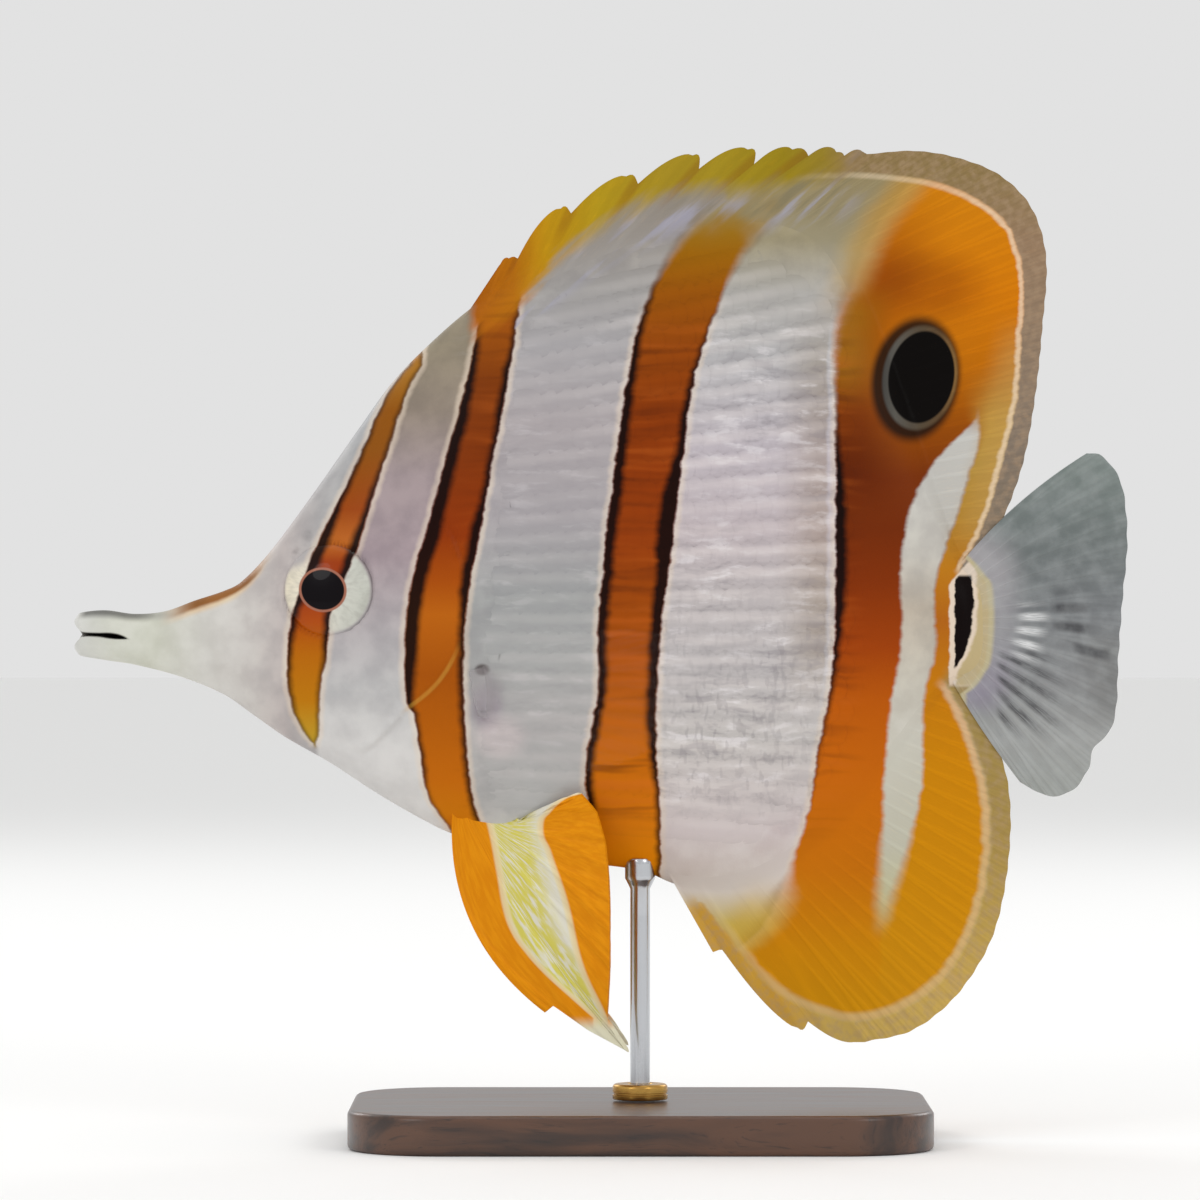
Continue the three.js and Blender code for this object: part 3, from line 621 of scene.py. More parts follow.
black = (12, 4, 4)

markings, nodes, (place,), made = new_group(
    "markings", {"Place": "Vector"}, {"Paint": "Color", "Pale": "Float"}
)
sized = place.scaled(1000)
true_s, y, h = nodes.on_fish(sized)
wander = sized.noise(0.45, 3)
s = (wander - 0.5) * 0.7 + true_s
ragged = sized.noise(1, 2, (0.12, 0.3, 0.8))
s = (ragged - 0.5) * true_s.ease(50, 76, 0.3, 0.8) + s
colour = s.shade(snout_ground)
pale, edged = 1, 0
for bar in (eye_bar, gill_bar, flank_bar, rear_bar):
    lines = [h.line(bar[part]) for part in ("front", "rear", "front_dark", "rear_dark")]
    soft = h.line(bar["softness"]).math("MAXIMUM", 0.28) if "softness" in bar else 0.28
    inside, dark, border = nodes.parts("Group", (s, *lines, soft), node_tree=bar_tree)
    if bar is not rear_bar:
        colour = colour.mix((s - lines[0]).ease(0, 1), h.shade(bar["ground"]))
    if bar is eye_bar:
        shown = h.ease(-17.6, -16.4)
        inside, dark, border = (shown * part for part in (inside, dark, border))
    if bar is flank_bar:
        shown = (sized.noise(0.2, 1) * 12 + h).ease(76, 65)
        inside, dark = shown * inside, shown * dark
    if bar in (flank_bar, rear_bar):
        border = h.ease(54, 42) * border
    colour = colour.mix(border * 0.5, cream)
    colour = colour.mix(inside, h.shade(bar["colours"]))
    colour = colour.mix(dark * 0.97, black)
    edged = dark.math("MAXIMUM", edged)
    pale = (1 - inside) * pale

# The ground darkens towards the last bar, which is browner along its upper front edge
past_front = s - lines[0]
beside = past_front.within(-10, -2, -1.6, -1) * h.within(-14, 0, 40, 52)
colour = colour.mix(beside, (231, 223, 211), "MULTIPLY")
brown = past_front.ease(13, 3) * h.within(16, 28, 52, 70)
colour = colour.mix(brown * inside, (196, 168, 140), "MULTIPLY")
brown = nodes.spot(s, h, (130, 53), (12, 8)).ease(1, 0.2, 0, 0.8)
colour = colour.mix(brown, (204, 186, 140), "MULTIPLY")
# Above and below, the pale skin turns olive before it turns orange
upper = past_front.within(-6, -1, -0.5, 4) * h.ease(46, 56)
lower = past_front.within(-9, -4, -1, 4) * h.ease(-36, -44)
olive = h.shade([(-40, 206, 168, 66), (50, 172, 134, 56), (58, 188, 160, 96), (66, 192, 152, 70)])
colour = colour.mix(upper.math("MAXIMUM", lower) * 0.6, olive)
beside = past_front.within(-0.5, 0.8, 1.5, 9) * h.within(33, 42, 48, 55)
colour = colour.mix(beside * 0.65, (150, 104, 14))

# The white wedge behind the last bar, and the orange strip behind it
past_gap = s - h.line(gap_rear)
strip_soft = h.ease(24, 38, 0.4, 3)
strip = past_gap.ease(strip_soft * -1, strip_soft) * h.ease(42, 31)
colour = colour.mix(strip, h.shade(rear_strip_colours))
gap_soft = h.ease(-24, -44, 0.45, 1.6)
in_gap = (s - h.line(gap_front)) / gap_soft
in_gap = in_gap.ease(-1, 1) * (past_gap / gap_soft).ease(1, -1) * h.within(-47, -42, 30, 35)
colour = colour.mix(in_gap, h.shade(gap_colours))
pale = pale.math("MAXIMUM", in_gap)

# The eye spot: black, in a grey ring and a soft dark one
ring_colour = true_s.shade(
    [(122.8, 66, 66, 64), (125, 92, 90, 84), (129, 88, 76, 60), (132, 96, 74, 50), (135, 146, 110, 62)]
)
for centre, window, chart in (
    ((128.1, 38.9), (1.52, 1.22, 0, 0.95), (32, 18, 8)),
    ((128.75, 39.1), (1.22, 1.1, 0, 0.9), ring_colour),
    ((129, 39.2), (1.06, 0.99), (6, 3, 2)),
):
    off_middle = nodes.spot(true_s, h, centre, (4.9, 6.9), math.radians(-10))
    colour = colour.mix(off_middle.ease(*window), chart)

# The edges of the dorsal and anal fins: a cream line, and a duller margin outside it
for centre, points, edge_colours, line_width, window in (
    ((120, 36), dorsal_line, dorsal_edge_colours, 0.7, (-1.1, -1.05, 1.7, 1.95)),
    ((116, -30), anal_line, anal_edge_colours, 1.1, (-2.75, -2.6, 0.9, 1)),
):
    past, angle = nodes.outside(s, h, centre, points)
    shown = angle.within(*window)
    paler = past.ease(-6, -0.5) * h.within(10, 20, 40, 50)
    colour = colour.mix(paler * shown * 0.55, (190, 150, 80))
    margin = shown * past.ease(0.1, 0.7)
    margin_colour = h.shade(edge_colours).mix(s.ease(116, 106), (206, 158, 62))
    speckled = margin_colour.mix(sized.noise(0.9, 3).ease(0.35, 0.7, 0, 0.4), (172, 146, 118))
    colour = colour.mix(margin, speckled)
    thin_line = abs(past).ease(line_width, 0.1, 0, 0.72)
    thin_line = thin_line * h.ease(72, 64, 0.45, 1) * s.ease(96, 112, 0.4, 1)
    colour = colour.mix(thin_line * shown, h.shade(edge_cream))

# The band on the tail stalk: cream, black, cream, then tan
under_fin = h - (s - 134)
stalk = h.ease(-8.2, -7.4) * under_fin.ease(9.1, 8.5)
shown = stalk * s.ease(133, 133.4)
colour = colour.mix(shown, cream)
band_rear = h.line(
    [(-9, 133.3), (-6, 133.9), (-4.6, 134.6), (-2, 135.9), (0.8, 136.6), (8.5, 136.8), (11, 136.5)]
)
shown = s.ease(133.85, 134.15) * (s - band_rear).ease(0.2, -0.2)
shown = shown * h.within(-5.4, -4.6, 8.7, 9.3) * under_fin.ease(8.7, 8.1)
colour = colour.mix(shown, black)
shown = stalk * (s - band_rear).ease(0.35, 1)
colour = colour.mix(shown, (190, 171, 128))

# The yellow of the spiny dorsal fin
over = h - s.line(yellow_line)
slant = math.radians(42)
up_spines = true_s * math.cos(slant) + h * math.sin(slant)
past_spines = h * math.cos(slant) + true_s * -math.sin(slant)
streaks = nodes.streaks(up_spines * 0.07, past_spines * 0.5, 0, 3)
near_yellow = over.ease(-9, -4) * s.within(62, 68, 114, 122) * pale
lilac = streaks.ease(0.5, 0.66) * near_yellow * 0.7
colour = colour.mix(lilac, (162, 161, 180))
smudge = streaks.ease(0.5, 0.36) * s.ease(88, 98) * near_yellow * 0.6
colour = colour.mix(smudge, (126, 118, 92))
over = (streaks - 0.5) * 7 + over
shown = over.ease(-2.6, 1.6) * s.within(59.5, 61.5, 116, 122)
colour = colour.mix(shown, s.shade(yellow_colours))
pale = pale * (1 - shown)

# The brown line along the top of the snout, and the grey of the upper lip
under_back = s.line([p for p in back_line if p[0] < 50]) - h
shown = s.within(12.5, 19, 26, 31) * abs(y).ease(4, 2.2)
colour = colour.mix(shown * under_back.ease(2.6, 1.5), (214, 190, 160))
colour = colour.mix(shown * under_back.ease(1.7, 0.9), (140, 92, 48))
shown = s.within(0.3, 2, 9, 16)
colour = colour.mix(shown * under_back.ease(1.5, 0.3, 0, 0.85), (92, 91, 88))

# Painted shade in the mouth slit, deepening further in, the yellow line of the gill cover's edge where it
# crosses the second bar, the dark spot over the pectoral fin's root, and the lilac skin round that root
off_mouth = h - true_s.line([(-1, 0.05), (0.8, 0.05), (4.7, -0.1), (8.6, -0.7)])
gape_line = true_s.line([(-1, 1.2), (0, 0.85), (1.4, 0.3), (3.5, 0.26), (6, 0.4), (7.6, 0.22), (8.6, 0)])
shown = true_s.ease(9, 7.4) * true_s.ease(0.5, 1.2, 0.25, 1)
in_mouth = (abs(off_mouth) - gape_line).ease(0.22, -0.1)
inner = true_s.shade([(0, 150, 146, 142), (1.5, 104, 100, 96), (3.5, 70, 66, 62), (5.5, 34, 31, 28)])
colour = colour.mix(in_mouth * shown, inner)
past, angle = nodes.outside(true_s, h, gill_centre, gill_line)
rim_line = abs(past).ease(0.5, 0.1) * angle.within(-1.2, -0.95, -0.5, -0.15)
colour = colour.mix(rim_line * 0.42, (212, 160, 64))
for centre, size, full, most, chart in (
    ((62.3, -5.3), (1.1, 0.9), 0.6, 0.8, (72, 60, 58)),
    ((63, -11), (2.6, 3.8), 0.4, 0.5, (146, 130, 146)),
    ((65, -15.5), (4, 3.4), 0.4, 0.5, (206, 192, 192)),
):
    colour = colour.mix(nodes.spot(true_s, h, centre, size).ease(1.3, full, 0, most), chart)

# Fine streaks run along the rows of scales: painted pearly glints and painted grey shade on pale skin,
# painted light and shade in bands on the bars, and grey dashes on the pale skin further back
sway = sized.noise(0.3, 1, (0.5, 1, 1)) * 1.6 + h
streaks = nodes.streaks(true_s * 0.17, y * 0.1, sway * 0.62, 4, 0.6)
on_flank = true_s.within(56, 66, 114, 122) * h.within(-33, -22, 40, 56)
on_flank = on_flank * sized.noise(0.09, 2).ease(0.35, 0.62, 0.35, 1)
light = streaks.ease(0.52, 0.68) * on_flank
shade_streaks = streaks.ease(0.5, 0.36) * on_flank
on_bar = (1 - pale) * (1 - edged)
bands = nodes.streaks(true_s * 0.04, 0, sway * 0.6, 1)
strong = pale * true_s.ease(80, 94, 0.3, 1)
# Painted pearly glints and painted grey shade along the rows on the pale skin
colour = colour.mix(light * strong * 0.5, (238, 233, 235))
colour = colour.mix(shade_streaks * strong * 0.4, (128, 122, 128))
lit_band = bands.ease(0.5, 0.72) * on_flank
shade_band = bands.ease(0.5, 0.3) * on_flank
# Painted light and painted shade in bands along the rows on the bars
colour = colour.mix(lit_band * on_bar * 0.3, (206, 104, 34))
colour = colour.mix(shade_band * on_bar * 0.5, (70, 24, 6))
dashes = sized.noise(1, 1, (1.1, 0.1, 0.5)).ease(0.54, 0.66) * on_flank * strong
dashes = dashes * true_s.ease(86, 92) * h.ease(12, -4, 0.1, 0.3)
colour = colour.mix(dashes, (132, 126, 130))
nodes.fill(made, (colour, pale))


def new_material(name):
    """A material, its node helper and its main shader."""
    material = bpy.data.materials.new(name)
    material.use_nodes = True
    return material, Nodes(material.node_tree), material.node_tree.nodes["Principled BSDF"]


def add_markings(nodes):
    """The fish's colour at a place on a piece, how pale and silvery it is there, and the place."""
    place = nodes.add("TexCoord", result=3)
    colour, pale = nodes.parts("Group", (place,), node_tree=markings)
    return colour, pale, place.scaled(1000)


skin_material, nodes, shader = new_material("skin")
colour, pale, sized = add_markings(nodes)
mottle = sized.noise(0.22, 4).ease(0.3, 0.7).between((120, 116, 122), (255, 252, 246))
grain = sized.noise(3.2, 3)
nodes.fill(shader, {"Base Color": colour.mix(pale * 0.14, mottle, "OVERLAY"), "Specular IOR Level": 0.06})
nodes.fill(shader, {"Roughness": grain * 0.16 + 0.3, "Normal": grain.bump(0.35, 0.00006)})
hide = make_piece(skin, "skin", skin_material)
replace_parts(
    hide, "upper_jaw", "lower_jaw", "snout", "head", "gill_cover_left", "gill_cover_right", "trunk",
    "tail_stalk",
)

# The scales: thin overlapping shields in rows along each flank, each lifted a little at its rear edge.
# They carry the colours of the hide under them, with a painted pearly highlight along the middle of each and
# painted shade towards its upper and lower edges.
scale_rows = 3.0  # millimetres from row to row
scale_step = 2.3  # from scale to scale along a row
rows_from = 85  # the place along the body where the rows are counted up the flank
scale_template = bmesh.new()
bmesh.ops.create_grid(scale_template, x_segments=4, y_segments=6, size=1)
bmesh.ops.solidify(scale_template, geom=scale_template.faces[:], thickness=1)
bmesh.ops.recalc_face_normals(scale_template, faces=scale_template.faces)
scale_mesh = bpy.data.meshes.new("scale")
scale_template.to_mesh(scale_mesh)
scale_template.free()
shape = np.array([v.co for v in scale_mesh.vertices])
along, across = (shape[:, 0] + 1) / 2, shape[:, 1]
under = np.abs(shape[:, 2]) > 0.5
angle = across * math.pi / 2
scale_across = np.sin(angle) * 0.76
scale_along = along * (0.5 + 0.5 * np.cos(angle)) * 2 - 1
scale_lift = 0.06 * along + 0.06 * (1 - across**2) * (0.3 + 0.7 * along) - 0.02 - 0.05 * under
arc_h = np.linspace(belly(rows_from) + 0.4, back(rows_from) - 0.4, 400)
arc = np.concatenate([[0], np.cumsum(np.hypot(np.diff(arc_h), np.diff(flank(rows_from, arc_h))))])
row_heights = np.interp(np.arange(0, arc[-1], scale_rows), arc, arc_h)


def row_line(v, s):
    """The height of a row of scales along the flank. Upper rows climb to the rear and lower ones sink."""
    climb = np.interp(v, (-36, -10, 15, 45, 64), (-5, -2.5, 3, 13, 12))
    return v + climb * (s - 70) / 60


scales_start = smooth_line([(-38, 62), (-20, 60), (-7, 60), (3, 61), (13, 62), (34, 64), (50, 68), (60, 76)])


def scale_show(s, h):
    """How far the scales stand out: fully on the flank, less towards the head and the edges."""
    found = ease(s - scales_start(h), 0, 5) * ease(s, 121, 111) * (0.35 + 0.65 * ease(s, 72, 92))
    found = found * (0.45 + 0.55 * ease(h, -32, -20)) * (0.5 + 0.5 * ease(h, 56, 44))
    return found * ease(flank(s, h), 2.8, 4.4)


scale_spots = []
for number, v in enumerate(row_heights):
    places = np.arange(44, 133, scale_step) + (number % 2) * scale_step / 2
    heights = row_line(v, places)
    scale_spots += [(a, b) for a, b in zip(places, heights) if scale_show(a, b) > 0.06]
scale_spots = np.array(scale_spots)
chance = np.random.default_rng(7)
scale_spots[:, :2] += chance.normal(0, 0.06, scale_spots[:, :2].shape)

scale_material, nodes, shader = new_material("scales")
colour, pale, sized = add_markings(nodes)
across_scale = nodes.attribute("across")
shown = nodes.attribute("shown") * sized.noise(0.12, 2, (0.5, 2, 2)).ease(0.35, 0.65, 0.45, 1)
# Painted shade darkens each scale towards its upper and lower edges, where the rows overlap
edge = abs(across_scale).ease(0.3, 0.9) * (pale * 0.04 + 0.18) * shown
colour = colour.mix(edge, (112, 100, 104), "MULTIPLY")
# A painted pearly highlight runs along the middle of each scale
highlight_streak = abs(across_scale - 0.1).ease(0.36, 0.04) * shown
colour = colour.mix(highlight_streak * 0.1, (250, 240, 225), "OVERLAY")
colour = colour.mix(highlight_streak * pale * 0.2, (238, 232, 232))
rough = sized.noise(3.5, 2) * 0.15 + 0.24
nodes.fill(shader, {"Base Color": colour, "Roughness": rough, "Specular IOR Level": 0.06})


def keep_values(bm, **named):
    """Keeps values for the vertices of a mesh under their names, for its material."""
    for name, values in named.items():
        layer = bm.verts.layers.float.new(name)
        for v, value in zip(bm.verts, values):
            v[layer] = value


for side, name in both_sides:
    bm = bmesh.new()
    for _ in scale_spots:
        bm.from_mesh(scale_mesh)
    spot_s, spot_h = (np.repeat(column, len(shape)) for column in scale_spots.T)
    one_across, one_along, one_s, one_h, one_lift = (
        np.tile(part, len(scale_spots)) for part in (across, along, scale_along, scale_across, scale_lift)
    )
    slope = row_line(spot_h, spot_s + 1) - row_line(spot_h, spot_s)
    s = spot_s + one_s * scale_step - slope * one_h * scale_rows
    h = spot_h + one_h * scale_rows + slope * one_s * scale_step
    h = np.clip(h, belly(s) + 0.12, back(s) - 0.12)
    step = 0.15
    ds = (skin_half(s + step, h) - skin_half(s - step, h)) / (2 * step)
    dh = (skin_half(s, h + step) - skin_half(s, h - step)) / (2 * step)
    ds, dh = np.clip(ds, -2, 2), np.clip(dh, -2.5, 2.5)
    size = np.sqrt(1 + ds**2 + dh**2)
    show = scale_show(spot_s, spot_h)
    lift = one_lift * show - 0.07 * (1 - ease(show, 0, 0.35))
    move_places(bm, s - lift * ds / size, side * (skin_half(s, h) + lift / size), h - lift * dh / size)
    keep_values(bm, across=one_across, shown=show)
    unwrap = bm.loops.layers.uv.new("OFBake")
    bm.verts.index_update()
    patch_u = 0.02 + 0.95 * spot_s / 140 + 0.003 * one_along
    girth = np.interp(spot_h, arc_h, arc / arc[-1])
    patch_v = 0.02 + 0.95 * girth + 0.003 * (one_across + 1) / 2
    for face in bm.faces:
        for loop in face.loops:
            loop[unwrap].uv = (patch_u[loop.vert.index], patch_v[loop.vert.index])
    make_piece(bm, f"scales_{name}", scale_material)

# The eyes: flattened glass balls set into the cheeks, with a black pupil in a coppery ring and a silver
# iris that the first bar crosses. A clear coat stands for the cornea.
pupil_s, pupil_h, pupil_radius = 38.2, 6.8, 3.1
eye_material, nodes, shader = new_material("eye")
colour, pale, sized = add_markings(nodes)
s, y, h = nodes.on_fish(sized)
off_eye = nodes.spot(s, h, (eye_s, eye_h), (1, 1))
off_pupil = nodes.spot(s, h, (pupil_s, pupil_h), (1.05, 0.96), math.radians(-12))
angle = (h - pupil_h).math("ARCTAN2", s - pupil_s)
around = nodes.add("CombineXYZ", (angle.math("SINE"), angle.math("COSINE"), off_pupil * 0.1))
fibres = around.noise(7, 3).ease(0.35, 0.75, 0, 0.35)
iris = s.shade([(31, 232, 222, 198), (36, 230, 222, 204), (41, 204, 204, 194), (46, 192, 194, 184)])
iris = iris.mix(fibres, (150, 148, 140))
iris_height = s.line([(31, 2.6), (35, 3.6), (40, 6.5), (43, 6), (45.5, 3.5)])
shown = (abs(h - eye_h) - iris_height).ease(1.2, -1) * pale * off_eye.ease(6.9, 6.2)
colour = colour.mix(shown, iris)
# A thin line of painted shade round the rear of the eye's rim, where the eyeball meets its socket
rim = abs(off_eye - 6.9).ease(0.4, 0.1) * s.ease(38, 44)
colour = colour.mix(rim * 0.4, (112, 112, 108))
colour = colour.mix(off_pupil.ease(pupil_radius + 0.5, pupil_radius + 0.3), (160, 104, 84))
colour = colour.mix(off_pupil.ease(pupil_radius + 0.12, pupil_radius - 0.06), (8, 3, 7))
nodes.fill(shader, {"Base Color": colour, "Roughness": 0.3, "Specular IOR Level": 0.05})
nodes.fill(shader, {"Coat Weight": 0.12, "Coat Roughness": 0.03})
for side, name in both_sides:
    bm = bmesh.new()
    bmesh.ops.create_uvsphere(bm, u_segments=64, v_segments=40, radius=1)
    middle, normal = eye_frame(side)
    turn = Vector((0, 0, 1)).rotation_difference(Vector(normal)).to_matrix()
    for v in bm.verts:
        v.co.x *= eye_radius - 0.1
        v.co.y *= eye_radius - 0.1
        v.co.z = v.co.z * (eye_half_depth - 0.05) - eye_sink
        v.co = turn @ v.co + Vector(middle)
    s, y, h = np.array([v.co for v in bm.verts]).T
    move_places(bm, s, y, h)
    ball = make_piece(bm, f"eyeball_{name}", eye_material)
    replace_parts(ball, f"eye_{name}")


# The dorsal and anal fins: skin over spines in front and forked soft rays behind. Their bases swell out of
# the back and the belly, and the bars of the body run on over them.
def spaced(points, count):
    """Points spaced evenly along a smooth curve through points."""
    points = np.array(points, float)
    steps = np.linalg.norm(np.diff(points, axis=0), axis=1)
    chords = np.concatenate([[0], np.cumsum(steps)])
    fine = np.linspace(0, chords[-1], 900)
    curve = np.stack([smooth_line(list(zip(chords, axis)))(fine) for axis in points.T], axis=1)
    runs = np.concatenate([[0], np.cumsum(np.linalg.norm(np.diff(curve, axis=0), axis=1))])
    even = np.linspace(0, runs[-1], count + 1)
    return np.stack([np.interp(even, runs, axis) for axis in curve.T], axis=1)


def root_line(line, start, end, count):
    fine = np.linspace(start, end, 60)
    return spaced(np.stack([fine, line(fine)], axis=1), count)


def ray_ridge(across, along):
    """1 on a soft ray and 0 between rays. Each ray forks twice on its way to the margin."""
    off = np.abs(across - np.rint(across))
    off = np.abs(off - 0.23 * ease(along, 0.3, 1))
    off = np.abs(off - 0.11 * ease(along, 0.6, 1.1))
    return ease(off, 0.17, 0.02)


def sunk(roots, tips, depth):
    """Roots moved back along their rays into the flesh."""
    run = tips - roots
    return roots - run * depth / np.linalg.norm(run, axis=1, keepdims=True)


def scalloped(roots, tips, across, depth):
    """Tips drawn in between the rays, which stand at whole places across."""
    dip = depth * (0.5 - 0.5 * np.cos(2 * math.pi * across))
    return sunk(tips, roots, -dip[:, None])


def upright(points):
    """(s, h) points as (s, y, h) ones on the middle of the body."""
    return np.insert(points, 1, 0, axis=1)


def thinning(root, tip, along, power=0.6):
    """A fin's half thickness on its way from root to tip."""
    return root + (tip - root) * along**power


def fin_points(start, tips, along, bow=0):
    """A grid of points along rays from their sunk roots to their tips. Places are (s, y, h)."""
    run = tips - start
    sideways = np.stack([-run[:, 2], 0 * run[:, 0], run[:, 0]], axis=1)
    sideways /= np.linalg.norm(sideways, axis=1, keepdims=True)
    t = along[None, :, None]
    bows = np.broadcast_to(bow, len(start))[:, None, None]
    return start[:, None] * (1 - t) + tips[:, None] * t + sideways[:, None] * bows * 4 * t * (1 - t)


def make_sheet(name, points, half, across, along, material):
    """A closed sheet through a grid of points, as thick on each side of them as half says."""
    columns, rows = half.shape
    bm = bmesh.new()
    bmesh.ops.create_grid(bm, x_segments=columns - 1, y_segments=rows - 1, size=1)
    bmesh.ops.solidify(bm, geom=bm.faces[:], thickness=1)
    flat = np.array([v.co for v in bm.verts])
    i = np.rint((flat[:, 0] + 1) / 2 * (columns - 1)).astype(int)
    j = np.rint((flat[:, 1] + 1) / 2 * (rows - 1)).astype(int)
    normal = np.cross(np.gradient(points, axis=0), np.gradient(points, axis=1))
    normal /= np.linalg.norm(normal, axis=2, keepdims=True) + 1e-9
    face = np.where(np.abs(flat[:, 2]) > 0.5, 1, -1)[:, None]
    placed = points[i, j] + face * half[i, j, None] * normal[i, j]
    move_places(bm, *placed.T)
    keep_values(bm, across=across[i], along=along[j])
    bmesh.ops.recalc_face_normals(bm, faces=bm.faces)
    return make_piece(bm, name, material)


# Fin rays as masks over a sheet: on a ray, and the fine joints along it
rays_tree, nodes, (across, along), made = new_group(
    "fin_rays", {"Across": "Float", "Along": "Float"}, {"Ray": "Float", "Fine": "Float"}
)
off = abs(across - across.math("ROUND"))
off = abs(off - along.ease(0.3, 1, 0, 0.23))
off = abs(off - along.ease(0.6, 1.1, 0, 0.11))
nodes.fill(made, (off.ease(0.13, 0.02), nodes.streaks(across * 14, along * 9, 0, 3)))


def add_rays(nodes):
    """Masks of a fin's rays and fine streaks, and the place across and along them."""
    across, along = nodes.attribute("across"), nodes.attribute("along")
    ray, fine = nodes.parts("Group", (across, along), node_tree=rays_tree)
    return ray, fine, across, along


lobe_bulge = 3  # the fin's edge stands out by about a third of this between two spines


def spiny_columns(spines, line, parts):
    """Dense roots, tips, place across and spine ridge for the spiny part of a fin."""
    roots, tips, across, ridge = [], [], [], []
    heading = np.zeros(2)
    for number, (spine, following) in enumerate(zip(spines, spines[1:])):
        root, tip, notch = (np.array(value, float) for value in spine)
        next_root, next_tip = np.array(following[0], float), np.array(following[1], float)
        chord = next_tip - notch
        outward = np.array((-chord[1], chord[0])) * np.sign(tip[1]) / max(np.linalg.norm(chord), 4)
        for part in np.linspace(0, 1, parts, endpoint=False):
            place = root + (next_root - root) * part
            roots.append((place, line(place)))
            notched = 0.2
            if part < notched:
                f = part / notched
                ahead = tip + heading * np.linalg.norm(notch - tip) * 0.8
                tips.append(tip * (1 - f) ** 2 + ahead * 2 * f * (1 - f) + notch * f**2)
            else:
                f = (part - notched) / (1 - notched)
                tips.append(notch + (next_tip - notch) * f + outward * lobe_bulge * f**1.1 * (1 - f) ** 0.6)
            across.append(number + part)
            ridge.append(max(math.exp(-((part / 0.11) ** 2)), math.exp(-(((1 - part) / 0.11) ** 2))))
        heading = chord / np.linalg.norm(chord)
    return roots, tips, across, ridge


def flesh_half(s, h):
    """Half the body's thickness, going on below nothing outside its edges."""
    past = np.abs(h - (back(s) + belly(s)) / 2) - (back(s) - belly(s)) / 2
    return flank(s, h) - 1.5 * np.maximum(past, 0)


def swell(half, flesh):
    """The half thickness of a fin whose base joins the flesh in a soft fillet."""
    reach = np.clip(flesh[:, :1] - half[:, :1] - 0.2, 0.5, 3.6)
    fillet = np.maximum(1 - np.abs(flesh - half) / reach, 0) ** 3 * reach / 6
    return np.maximum(half, flesh) + fillet - 0.025 * ease(flesh - half, -0.5, 0.5)


def unpaired_fin(name, line, spines, soft_root, margin, rays):
    """A dorsal or anal fin on the middle of the body, from its first spine to its last ray."""
    roots, tips, across, ridge = spiny_columns(spines, line, 24)
    count = rays * 14
    roots = np.concatenate([roots, root_line(line, *soft_root, count)])
    tips = np.concatenate([tips, spaced(margin, count)])
    first = len(spines) - 1
    across = np.concatenate([across, first + np.linspace(0, rays, count + 1)])
    ridge = np.concatenate([ridge, np.zeros(count + 1)])
    soft = across >= first
    tips = scalloped(roots, tips, across, np.where(soft, 0.12, 0))
    roots, tips = upright(roots), upright(tips)
    along = np.concatenate([np.linspace(0, 0.2, 14, endpoint=False), np.linspace(0.2, 1, 34)])
    outward = np.gradient(roots, axis=0)[:, (2, 1, 0)] * (-1, 0, 1) * np.sign(tips[0, 2] - roots[0, 2])
    outward /= np.linalg.norm(outward, axis=1, keepdims=True)
    square = ease(across, 0, 2.5)[:, None]
    start = sunk(roots, tips, 5) * (1 - square) + (roots - 5 * outward) * square
    points = fin_points(start, tips, along)
    t = along[None, :]
    membrane = thinning(1, 0.24, t)
    half = membrane + (thinning(1.05, 0.3, t) - membrane) * ridge[:, None]
    half = half + 0.06 * ray_ridge(across[:, None], t) * soft[:, None] * ease(t, 0.1, 0.4)
    s, h = points[..., 0], points[..., 2]
    half = swell(half, flesh_half(s, h))
    return make_sheet(name, points, half, across, along, fin_material)


fin_material, nodes, shader = new_material("fins")
colour, _, sized = add_markings(nodes)
s, y, h = nodes.on_fish(sized)
ray, fine, across, along = add_rays(nodes)
shown = along.ease(0.12, 0.4)
colour = colour.mix((1 - ray) * shown * 0.07, (120, 84, 60), "MULTIPLY")
colour = colour.mix(fine.ease(0.5, 0.78) * shown * 0.12, (250, 226, 190), "OVERLAY")
behind_spine = across.math("FRACT").within(0.06, 0.16, 0.26, 0.46) * across.ease(7.1, 6.8)
colour = colour.mix(behind_spine * along.ease(0.55, 0.9) * h.ease(40, 50, 0, 0.35), (120, 62, 14))
relief_normal = ((ray * 0.4 + fine) * shown).bump(0.3, 0.00008)
nodes.fill(
    shader, {"Base Color": colour, "Roughness": 0.42, "Specular IOR Level": 0.06, "Normal": relief_normal}
)

# Where each spine stands on the body, its tip, and the notch behind it
dorsal_spines = [
    (60.4, (64.7, 56.2), (64.9, 56.4)), (61.8, (66.2, 57.3), (67.5, 57.2)),
    (65, (74.1, 64.9), (75.6, 64.1)), (70.2, (84.1, 69.8), (85.8, 68.6)),
    (75.8, (94.2, 73), (95.1, 70.9)), (81.9, (102.6, 73.9), (103.5, 71.6)),
    (88.5, (109.4, 73.9), (111.8, 72.9)), (95, (116.1, 73.5), (117.3, 72.9)),
    (101.7, (120.2, 73.3), (120.4, 73.1)),
]
dorsal_margin = [
    (120.75, 73.2), (128, 73.7), (134.8, 72.6), (141.2, 69.9), (145.9, 65), (148.1, 57.5), (147.5, 46.5),
    (146.4, 36), (144.7, 26.6), (142.2, 19.2), (139.2, 13.5), (137, 10.4),
]
anal_spines = [
    (91.4, (97.3, -48.4), (98.6, -47.9)), (94.5, (110.2, -59.9), (111.7, -58.9)),
    (98, (119.3, -61.8), (119.9, -61.7)),
]
anal_margin = [
    (120.4, -62.1), (127.3, -60.5), (133.1, -56.4), (137.5, -50.8), (140.3, -45), (142, -37.4),
    (142.7, -29), (142.3, -22.8), (141.1, -18.2), (138.8, -12.6), (136.6, -6.6),
]
dorsal = unpaired_fin("dorsal_fin", back, dorsal_spines, (102.3, 135.2), dorsal_margin, 29)
